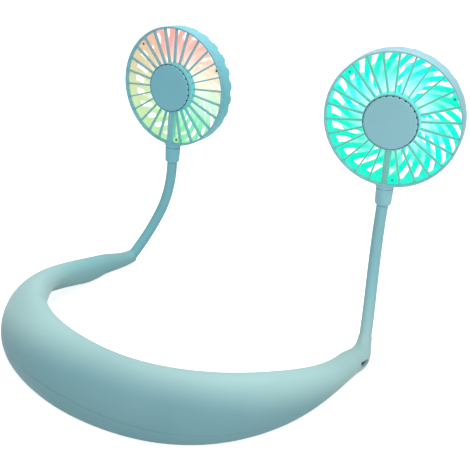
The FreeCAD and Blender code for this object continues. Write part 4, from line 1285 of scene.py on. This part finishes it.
# %% Posts and screws
POST_CIRCLE = 36.6
POST_GAPS = (0.5, 8.5, 16.5)
POST_TOP, POST_HOLE, POST_RADIUS, POST_FOOT, POST_EDGE = -2.3, 0.98, 2.2, -13.3, 0.2
SCREW_SINK, SCREW_RADIUS = 0.75, 0.93
SCREW_PLACE = POST_TOP - SCREW_SINK
POST_PROFILE = [
    (POST_HOLE, SCREW_PLACE), (POST_HOLE, POST_TOP - POST_EDGE), (POST_HOLE + POST_EDGE, POST_TOP),
    (POST_RADIUS - POST_EDGE, POST_TOP), (POST_RADIUS, POST_TOP - POST_EDGE), (POST_RADIUS, POST_FOOT),
    (0.0, POST_FOOT), (0.0, SCREW_PLACE)]
SCREW_PROFILE = [
    (0.02, 0.55), (0.2, 0.55), (0.35, 0.53), (0.5, 0.48), (0.65, 0.38), (0.75, 0.12),
    (SCREW_RADIUS, -0.2), (0.02, -0.2)]
RECESS_WIDTH, RECESS_REACH, RECESS_DEPTH, RECESS_FLOOR = 0.15, 0.6, 0.4, 0.3
LIT_SCREW = grained("screw_lit_green", rgb(0.03, 0.60, 0.46), rgb(0.02, 0.50, 0.39), 0.45)
SCREW_FINISHES = by_side(LIT_SCREW, BLACK)


def set_recipe():
    """Copies of an object on the points of a mesh."""
    recipe = Recipe("set_on_points", Fitting="Object")
    info = recipe.node("GeometryNodeObjectInfo", {}, {"Object": recipe.given("Fitting")}, output="Geometry")
    inputs = {"Points": recipe.given("Geometry"), "Instance": info}
    return recipe.close(recipe.node("GeometryNodeInstanceOnPoints", {}, inputs))


SET = set_recipe()


def screw_mesh():
    """A small pan head with a cross recess."""
    mesh = turned("screw", SCREW_PROFILE, 32)
    for vertex in mesh.vertices:
        x, y, z = vertex.co / MM
        if z > RECESS_FLOOR and min(abs(x), abs(y)) < RECESS_WIDTH and math.hypot(x, y) < RECESS_REACH:
            vertex.co.z -= RECESS_DEPTH * MM
    return mesh


def set_fitting(name, mesh, height, finish):
    """One fitting set on the three post points of a head, in the head's own axes."""
    fitting = held(name, mesh)
    turns = [DOWN + PITCH * gap for gap in POST_GAPS]
    places = [Vector((POST_CIRCLE * math.cos(turn), POST_CIRCLE * math.sin(turn), height)) * MM
              for turn in turns]
    points = bpy.data.meshes.new(name)
    points.from_pydata(places, [], [])
    result = grown(SET, name, points, Fitting=fitting, Finish=finish)
    bpy.data.objects.remove(fitting)
    return result


print("post and screw recipe:", len(SET.nodes.nodes), "nodes")

# %% [markdown]
# The rim and the drum are round, so they are turned from half profiles with softened corners. A cylinder
# with a bevel would round its edges too, but the drum also has a lip for the cap, a plate for the scent pad
# and a peg in the middle. Rim, drum, spokes and posts are one moulding on the real fan and one mesh here.

# %% Rim and drum
HEAD_RADIUS = 40.0
RIM_BACK, RIM_SKIN, RIM_LIP = -3.0, 0.05, 0.35
RIM_PROFILE = softened([
    (OPENING_RADIUS, RIM_BACK), (HEAD_RADIUS - RIM_SKIN, RIM_BACK), (HEAD_RADIUS - RIM_SKIN, 0.0),
    (OPENING_RADIUS + RIM_LIP, 0.0)], 0.3, closed=True)
HUB_BACK, HUB_BORE = -4.0, 15.2
PLATE_FRONT, PLATE_BACK = -1.4, -2.6
LIP_RADIUS = 15.88
PEG_RADIUS, PEG_TOP = 2.0, 1.2
DRUM_PROFILE = softened([
    (0.0, PLATE_BACK), (HUB_BORE, PLATE_BACK), (HUB_BORE, HUB_BACK), (HUB_RADIUS, HUB_BACK),
    (HUB_RADIUS, HUB_PROUD), (LIP_RADIUS, HUB_PROUD), (LIP_RADIUS, PLATE_FRONT), (PEG_RADIUS, PLATE_FRONT),
    (PEG_RADIUS, PEG_TOP), (0.0, PEG_TOP)], 0.25, 3)


def make_grille(side):
    """Rim, spokes, drum and posts of one head as one moulding, and its screws."""
    place = head_matrix(side)
    finish = grille_finish(side)
    rim = turned("rim", RIM_PROFILE, 156, finish)
    drum = turned("drum", DRUM_PROFILE, 96, finish, closed=False)
    posts = set_fitting(side + "_posts", turned("post", POST_PROFILE, 24), 0.0, CHAMBER_FINISHES[side])
    grille = merged(side + "_grille", [rim, drum, posts] + spoke_bars(side, finish))
    grille.transform(place)
    piece(side + "_grille", grille, side + "_head", [side + "_front_grille"])
    screws = set_fitting(side + "_screws", screw_mesh(), SCREW_PLACE, SCREW_FINISHES[side])
    screws.transform(place)
    piece(side + "_screws", screws, side + "_head")
    return len(grille.polygons)


for side in SIDES:
    print(side, "grille:", make_grille(side), "faces")

# %% [markdown]
# ## The slotted housing
# The back of each head is a shallow pan with twenty-six slots that swirl outward and run over its edge,
# which gives the scalloped outline. A Boolean could cut them, but leaves thin slivers on a curved wall. So
# a flat grid is cut first and then wrapped round the axis: one direction becomes the angle, turned further
# by the swirl, and the other runs along the pan's profile.

# %% Slotted shell recipe
MERGE_REACH = 0.000002


def slotted_recipe():
    """A turned shell with a ring of slots, from a profile curve."""
    recipe = Recipe("slotted_shell", Count="Int", Columns="Int", Slot_Columns="Float", Rows="Int",
                    From="Float", To="Float", First="Float", Twist="Float", Twist_Start="Float",
                    Twist_Zero="Float")
    count, columns, rows = recipe.given("Count", "Columns", "Rows")
    grid = recipe.node("GeometryNodeMeshGrid", {}, {
        "Size X": 1.0, "Size Y": 1.0, "Vertices X": rows + 1, "Vertices Y": count * columns + 1})
    x, y, _ = recipe.position()
    along, around = x + 0.5, y + 0.5
    cell = (around * count).maths("FRACT", around * count) * columns
    in_slot = cell.maths("LESS_THAN", cell, recipe.given("Slot Columns"))
    after = along.maths("GREATER_THAN", along, recipe.given("From"))
    before = along.maths("LESS_THAN", along, recipe.given("To"))
    cut = recipe.node("GeometryNodeDeleteGeometry", {"domain": "FACE"}, {
        "Geometry": grid, "Selection": in_slot * after * before})
    sample = recipe.node("GeometryNodeSampleCurve", {"mode": "FACTOR"}, {
        "Curves": recipe.given("Geometry"), "Factor": along}, output="Position")
    radius, _, height = recipe.parts(sample)
    swirl = radius.maths("MAXIMUM", radius, recipe.given("Twist Start")) / recipe.given("Twist Zero")
    swirl = swirl.maths("LOGARITHM", swirl, math.e) * recipe.given("Twist")
    angle = recipe.given("First") + around * (2 * math.pi) - swirl
    place = recipe.whole(radius * angle.maths("COSINE", angle), radius * angle.maths("SINE", angle), height)
    bent = recipe.node("GeometryNodeSetPosition", {}, {"Geometry": cut, "Position": place})
    merge = {"Geometry": bent, "Distance": MERGE_REACH}
    return recipe.close(recipe.node("GeometryNodeMergeByDistance", {}, merge))


SLOTTED = slotted_recipe()
print("slotted shell recipe:", len(SLOTTED.nodes.nodes), "nodes")

# %% [markdown]
# The pan itself is the recipe on the profile of back, corner and wall, with a wall grown inward: aqua
# outside, lit inside. A plain disc closes the middle of the back.

# %% Pan and disc
HEAD_DEPTH, SHELL_WALL, SKIN_INSET = 17.5, 1.5, 0.12
CORNER_WIDTH, CORNER_DEPTH, CORNER_ROUND = 4.5, 4.0, 2.6
SLOT_INNER, SLOT_RISE, SLOT_TWIST = 17.0, 5.8, 0.8
COLUMNS, SLOT_COLUMNS, PAN_ROWS = 9, 4, 40
PARTING_GAP = 0.15
DISC_RADIUS, DISC_LAP, DISC_SINK = 15.0, 0.5, 0.02
PAN_INSIDE = Vector((0.0, 0.0, -0.006))
PAN_BACK = SKIN_INSET - HEAD_DEPTH
DISC_PROFILE = softened([
    (0.0, PAN_BACK), (DISC_RADIUS + DISC_LAP, PAN_BACK + DISC_SINK),
    (DISC_RADIUS + DISC_LAP, SHELL_WALL - HEAD_DEPTH), (0.0, SHELL_WALL - HEAD_DEPTH)], 0.3, 3)


def line_share(profile, stop):
    """Share of a profile's length at its first place that passes a test."""
    total = sum(math.dist(first, second) for first, second in zip(profile, profile[1:]))
    done = 0.0
    for first, second in zip(profile, profile[1:]):
        for share in np.linspace(0, 1, 60):
            if stop(np.array(first) * (1 - share) + np.array(second) * share):
                return (done + share * math.dist(first, second)) / total
        done += math.dist(first, second)
    return 1.0


def pan_profile():
    """Half profile of the back and side wall, from the middle disc to the parting line."""
    outer = HEAD_RADIUS - SKIN_INSET
    corners = [(DISC_RADIUS, PAN_BACK), (outer - CORNER_WIDTH, PAN_BACK), (outer, PAN_BACK + CORNER_DEPTH),
               (outer, RIM_BACK - PARTING_GAP)]
    return softened(corners, CORNER_ROUND, 5)


def outward(mesh, inside):
    """Flips the mesh if its faces look towards the inside point."""
    lean = sum((face.center - inside).dot(face.normal) * face.area for face in mesh.polygons)
    if lean < 0:
        mesh.flip_normals()


def pan_mesh(side):
    profile = pan_profile()
    start = line_share(profile, lambda point: point[0] >= SLOT_INNER)
    stop = line_share(profile, lambda point: point[1] >= SLOT_RISE - HEAD_DEPTH)
    mesh = grown(SLOTTED, side + "_pan", profile_curve(side + "_pan", profile), Count=SPOKES, Columns=COLUMNS,
                 Slot_Columns=float(SLOT_COLUMNS), Rows=PAN_ROWS, From=start, To=stop,
                 First=DOWN - PITCH * SLOT_COLUMNS / COLUMNS / 2, Twist=SLOT_TWIST,
                 Twist_Start=SLOT_INNER * MM, Twist_Zero=POST_CIRCLE * MM, Finish=WALL_FINISHES[side])
    outward(mesh, PAN_INSIDE)
    mesh.materials.append(CHAMBER_FINISHES[side])
    return modified(mesh, walled(SHELL_WALL, material_offset=1, material_offset_rim=1), SMOOTHED)


def disc_mesh(side):
    """The plain middle of the back, lit on the side of the blades."""
    mesh = turned("disc", DISC_PROFILE, 104, HEAD_FINISHES[side], CHAMBER_FINISHES[side], closed=False)
    for face in mesh.polygons:
        face.material_index = 1 if face.normal.z > 0.5 else 0
    return mesh


print("pan profile:", len(pan_profile()), "points")

# %% [markdown]
# Under the pan a stub tapers down to the collar, which grips the sleeve. The stub is skinned from
# rounded ovals, wide at the pan and round at the foot, with a thin shadow line where the collar starts.
# A cone would be simpler, but the stub is wider and squarer where it meets the pan.

# %% Stub and collar
COLLAR_BACK, COLLAR_TOP = 6.0, -43.0
COLLAR_PROFILE = softened([
    (1.3, 0.0), (4.95, 0.0), (5.32, -0.35), (4.95, -9.8), (4.45, -10.6), (3.65, -10.6), (3.65, -7.9),
    (1.3, -7.9)], 0.3, closed=True)
STUB_TOP, STUB_FOOT, STUB_STEPS = -39.1, -42.9, 12
STUB_WIDTH, STUB_RADIUS, STUB_HASTE = 6.9, 5.15, 1.06
STUB_LIP, LIP_START = 0.25, 0.9
STUB_SQUARE, ROUND = 3.2, 2.0


def super_oval(half_width, half_depth, power, sides=48):
    """Points of an oval that is squarer for a higher power."""
    points = []
    for index in range(sides):
        angle = 2 * math.pi * index / sides
        c, s = math.cos(angle), math.sin(angle)
        points.append((half_width * math.copysign(abs(c) ** (2 / power), c),
                       half_depth * math.copysign(abs(s) ** (2 / power), s)))
    return points


def stub_mesh(side):
    rings = []
    for step in range(STUB_STEPS + 1):
        share = step / STUB_STEPS
        width = STUB_WIDTH + (STUB_RADIUS - STUB_WIDTH) * min(1.0, share * STUB_HASTE)
        lip = STUB_LIP * max(0.0, share - LIP_START) / (1 - LIP_START)
        y = STUB_TOP + (STUB_FOOT - STUB_TOP) * share
        oval = super_oval(width - lip, STUB_RADIUS - lip, STUB_SQUARE + (ROUND - STUB_SQUARE) * share)
        rings.append([Vector((x, y, z - COLLAR_BACK)) * MM for x, z in oval])
    return skinned("stub", rings, HEAD_FINISHES[side])


def make_housing(side):
    """Pan, disc and stub of one head as one moulding, and its collar."""
    place = head_matrix(side)
    housing = merged(side + "_housing", [pan_mesh(side), disc_mesh(side), stub_mesh(side)])
    housing.transform(place)
    piece(side + "_housing", housing, side + "_head", [side + "_rear_housing"], sharp=50.0)
    collar = turned(side + "_ferrule", COLLAR_PROFILE, 64, HEAD_FINISHES[side])
    foot = Matrix.Translation(Vector((0.0, COLLAR_TOP, -COLLAR_BACK)) * MM)
    collar.transform(place @ foot @ Matrix.Rotation(DOWN, 4, "X"))
    piece(side + "_ferrule", collar, side + "_head", [side + "_collar"])
    return len(housing.polygons)


for side in SIDES:
    print(side, "housing:", make_housing(side), "faces")

# %% [markdown]
# ## The impeller
# Nine clear blades stand on a cup that turns behind the grille. A blade is a grid that is bent into
# shape: it fans out with the radius, leans by its pitch, and its outer corners are rounded. One modelled
# blade could be copied by hand, but as a recipe its pitch and span stay open to change.

# %% Blade recipe
BLADES = 9
BLADE_REACH, BLADE_WALL, BLADE_CAMBER, BLADE_CORNER = 33.2, 0.9, -0.7, 2.2
ROOT_SPAN, BLADE_SPAN, BLADE_PITCH = (math.radians(angle) for angle in (30.0, 33.0, 14.0))
FAN_POWER, CORNER_POWER = 0.55, 4.0
CUP_RADIUS, CUP_BORE, CUP_FRONT, CUP_BACK, CUP_FLOOR = 12.0, 10.8, -8.6, -14.2, 1.2
STEM_RADIUS, SHAFT_BORE, ROOT_LAP = 2.4, 0.75, 0.6
CUP_PROFILE = softened([
    (SHAFT_BORE, CUP_BACK), (CUP_RADIUS, CUP_BACK), (CUP_RADIUS, CUP_FRONT), (CUP_BORE, CUP_FRONT),
    (CUP_BORE, CUP_BACK + CUP_FLOOR), (STEM_RADIUS, CUP_BACK + CUP_FLOOR), (STEM_RADIUS, CUP_FRONT),
    (SHAFT_BORE, CUP_FRONT)], 0.4, 3, closed=True)


def blades_recipe():
    """Pitched blades round an axis."""
    recipe = Recipe("ring_of_blades", Count="Int", Inner="Float", Outer="Float", Root_Span="Float",
                    Span="Float", Pitch="Float", Camber="Float", Corner="Float", Height="Float")
    grid = recipe.node("GeometryNodeMeshGrid", {}, {
        "Size X": 1.0, "Size Y": 2.0, "Vertices X": 13, "Vertices Y": 11})
    x, across, _ = recipe.position()
    along = x + 0.5
    inner, outer, root, tip, lean = recipe.given("Inner", "Outer", "Root Span", "Span", "Pitch")
    reach = outer - recipe.given("Corner") * across ** CORNER_POWER
    radius = inner + (reach - inner) * along
    angle = across * (root + (tip - root) * along ** FAN_POWER) / 2
    side = radius * angle.maths("SINE", angle)
    rise = side * lean.maths("TANGENT", lean) + recipe.given("Camber") * (1 - across * across) * along
    place = recipe.whole(radius * angle.maths("COSINE", angle), side, rise + recipe.given("Height"))
    blade = recipe.node("GeometryNodeSetPosition", {}, {"Geometry": grid, "Position": place})
    return recipe.close(recipe.ringed(blade, recipe.given("Count"), DOWN, 2 * math.pi / BLADES))


RING_OF_BLADES = blades_recipe()


def make_impeller(side):
    finish = blade_finish(side)
    blades = grown(RING_OF_BLADES, side + "_blades", None, Count=BLADES, Inner=(CUP_RADIUS - ROOT_LAP) * MM,
                   Outer=BLADE_REACH * MM, Root_Span=ROOT_SPAN, Span=BLADE_SPAN, Pitch=BLADE_PITCH,
                   Camber=BLADE_CAMBER * MM, Corner=BLADE_CORNER * MM,
                   Height=(CUP_FRONT + CUP_BACK) / 2 * MM, Finish=finish)
    wall = {"thickness": BLADE_WALL * MM, "offset": 0.0}
    blades = modified(blades, ("SOLIDIFY", wall), SMOOTHED)
    impeller = merged(side + "_fan", [turned("cup", CUP_PROFILE, 72, finish), blades])
    impeller.transform(head_matrix(side))
    piece(side + "_fan", impeller, side + "_impeller", [side + "_impeller"], sharp=50.0)
    return len(impeller.polygons)


for side in SIDES:
    print(side, "impeller:", make_impeller(side), "faces")

# %% [markdown]
# ## Cap and scent pad
# The round cap in the middle pulls off, so that scent can be dropped on the felt pad behind it. Its skirt
# has twenty-six small notches that let the scent out, and they draw a dotted line round the cap. A bump
# could draw that line too, but a lifted cap would show a smooth skirt. So the slotted shell recipe cuts
# them, with no swirl.

# %% Cap and pad
CAP_RADIUS, CAP_PROUD, CAP_FOOT = 15.55, 3.65, -1.1
CAP_WALL, CAP_EDGE, CAP_CROWN = 1.1, 1.0, 0.10
CAP_ROWS, NOTCH_COLUMNS, NOTCH_DEPTH = 44, 4, 0.36
PAST_END = 2.0
CAP_INSIDE = Vector((0.0, 0.0, 0.003))
PAD_INNER, PAD_OUTER, PAD_TOP = 3.9, 13.1, 0.4
PAD_PROFILE = softened([
    (PAD_INNER, PLATE_FRONT), (PAD_OUTER, PLATE_FRONT), (PAD_OUTER, PAD_TOP), (PAD_INNER, PAD_TOP)],
    0.5, closed=True)


def cap_profile():
    """Half profile of the cap's outside, from the middle of its face to the skirt's foot."""
    flat = CAP_RADIUS - CAP_EDGE
    face = [(r, CAP_PROUD - CAP_CROWN * (r / CAP_RADIUS) ** 2) for r in np.linspace(0.0, flat, 14)]
    foot = face[-1][1] - CAP_EDGE
    edge = [(flat + CAP_EDGE * math.sin(angle), foot + CAP_EDGE * math.cos(angle))
            for angle in np.linspace(0, math.pi / 2, 9)[1:]]
    return face + edge + [(CAP_RADIUS, CAP_FOOT)]


def make_cap(side):
    """The notched cap of one head, and the felt pad under it."""
    place = head_matrix(side)
    profile = cap_profile()
    start = line_share(profile, lambda point: point[0] > CAP_RADIUS - NOTCH_DEPTH)
    mesh = grown(SLOTTED, side + "_lid", profile_curve(side + "_lid", profile), Count=SPOKES,
                 Columns=NOTCH_COLUMNS, Slot_Columns=1.0, Rows=CAP_ROWS, From=start, To=PAST_END,
                 First=DOWN - PITCH / NOTCH_COLUMNS / 2, Twist=0.0, Twist_Start=MM, Twist_Zero=MM,
                 Finish=HEAD_FINISHES[side])
    outward(mesh, CAP_INSIDE)
    mesh = modified(mesh, walled(CAP_WALL))
    mesh.transform(place)
    piece(side + "_lid", mesh, side + "_cap", [side + "_scent_cap"], sharp=45.0)
    pad = turned(side + "_felt", PAD_PROFILE, 64, FELT)
    pad.transform(place)
    felt = piece(side + "_felt", pad, side + "_head", [side + "_scent_pad"])
    return len(mesh.polygons)


for side in SIDES:
    print(side, "cap:", make_cap(side), "faces")
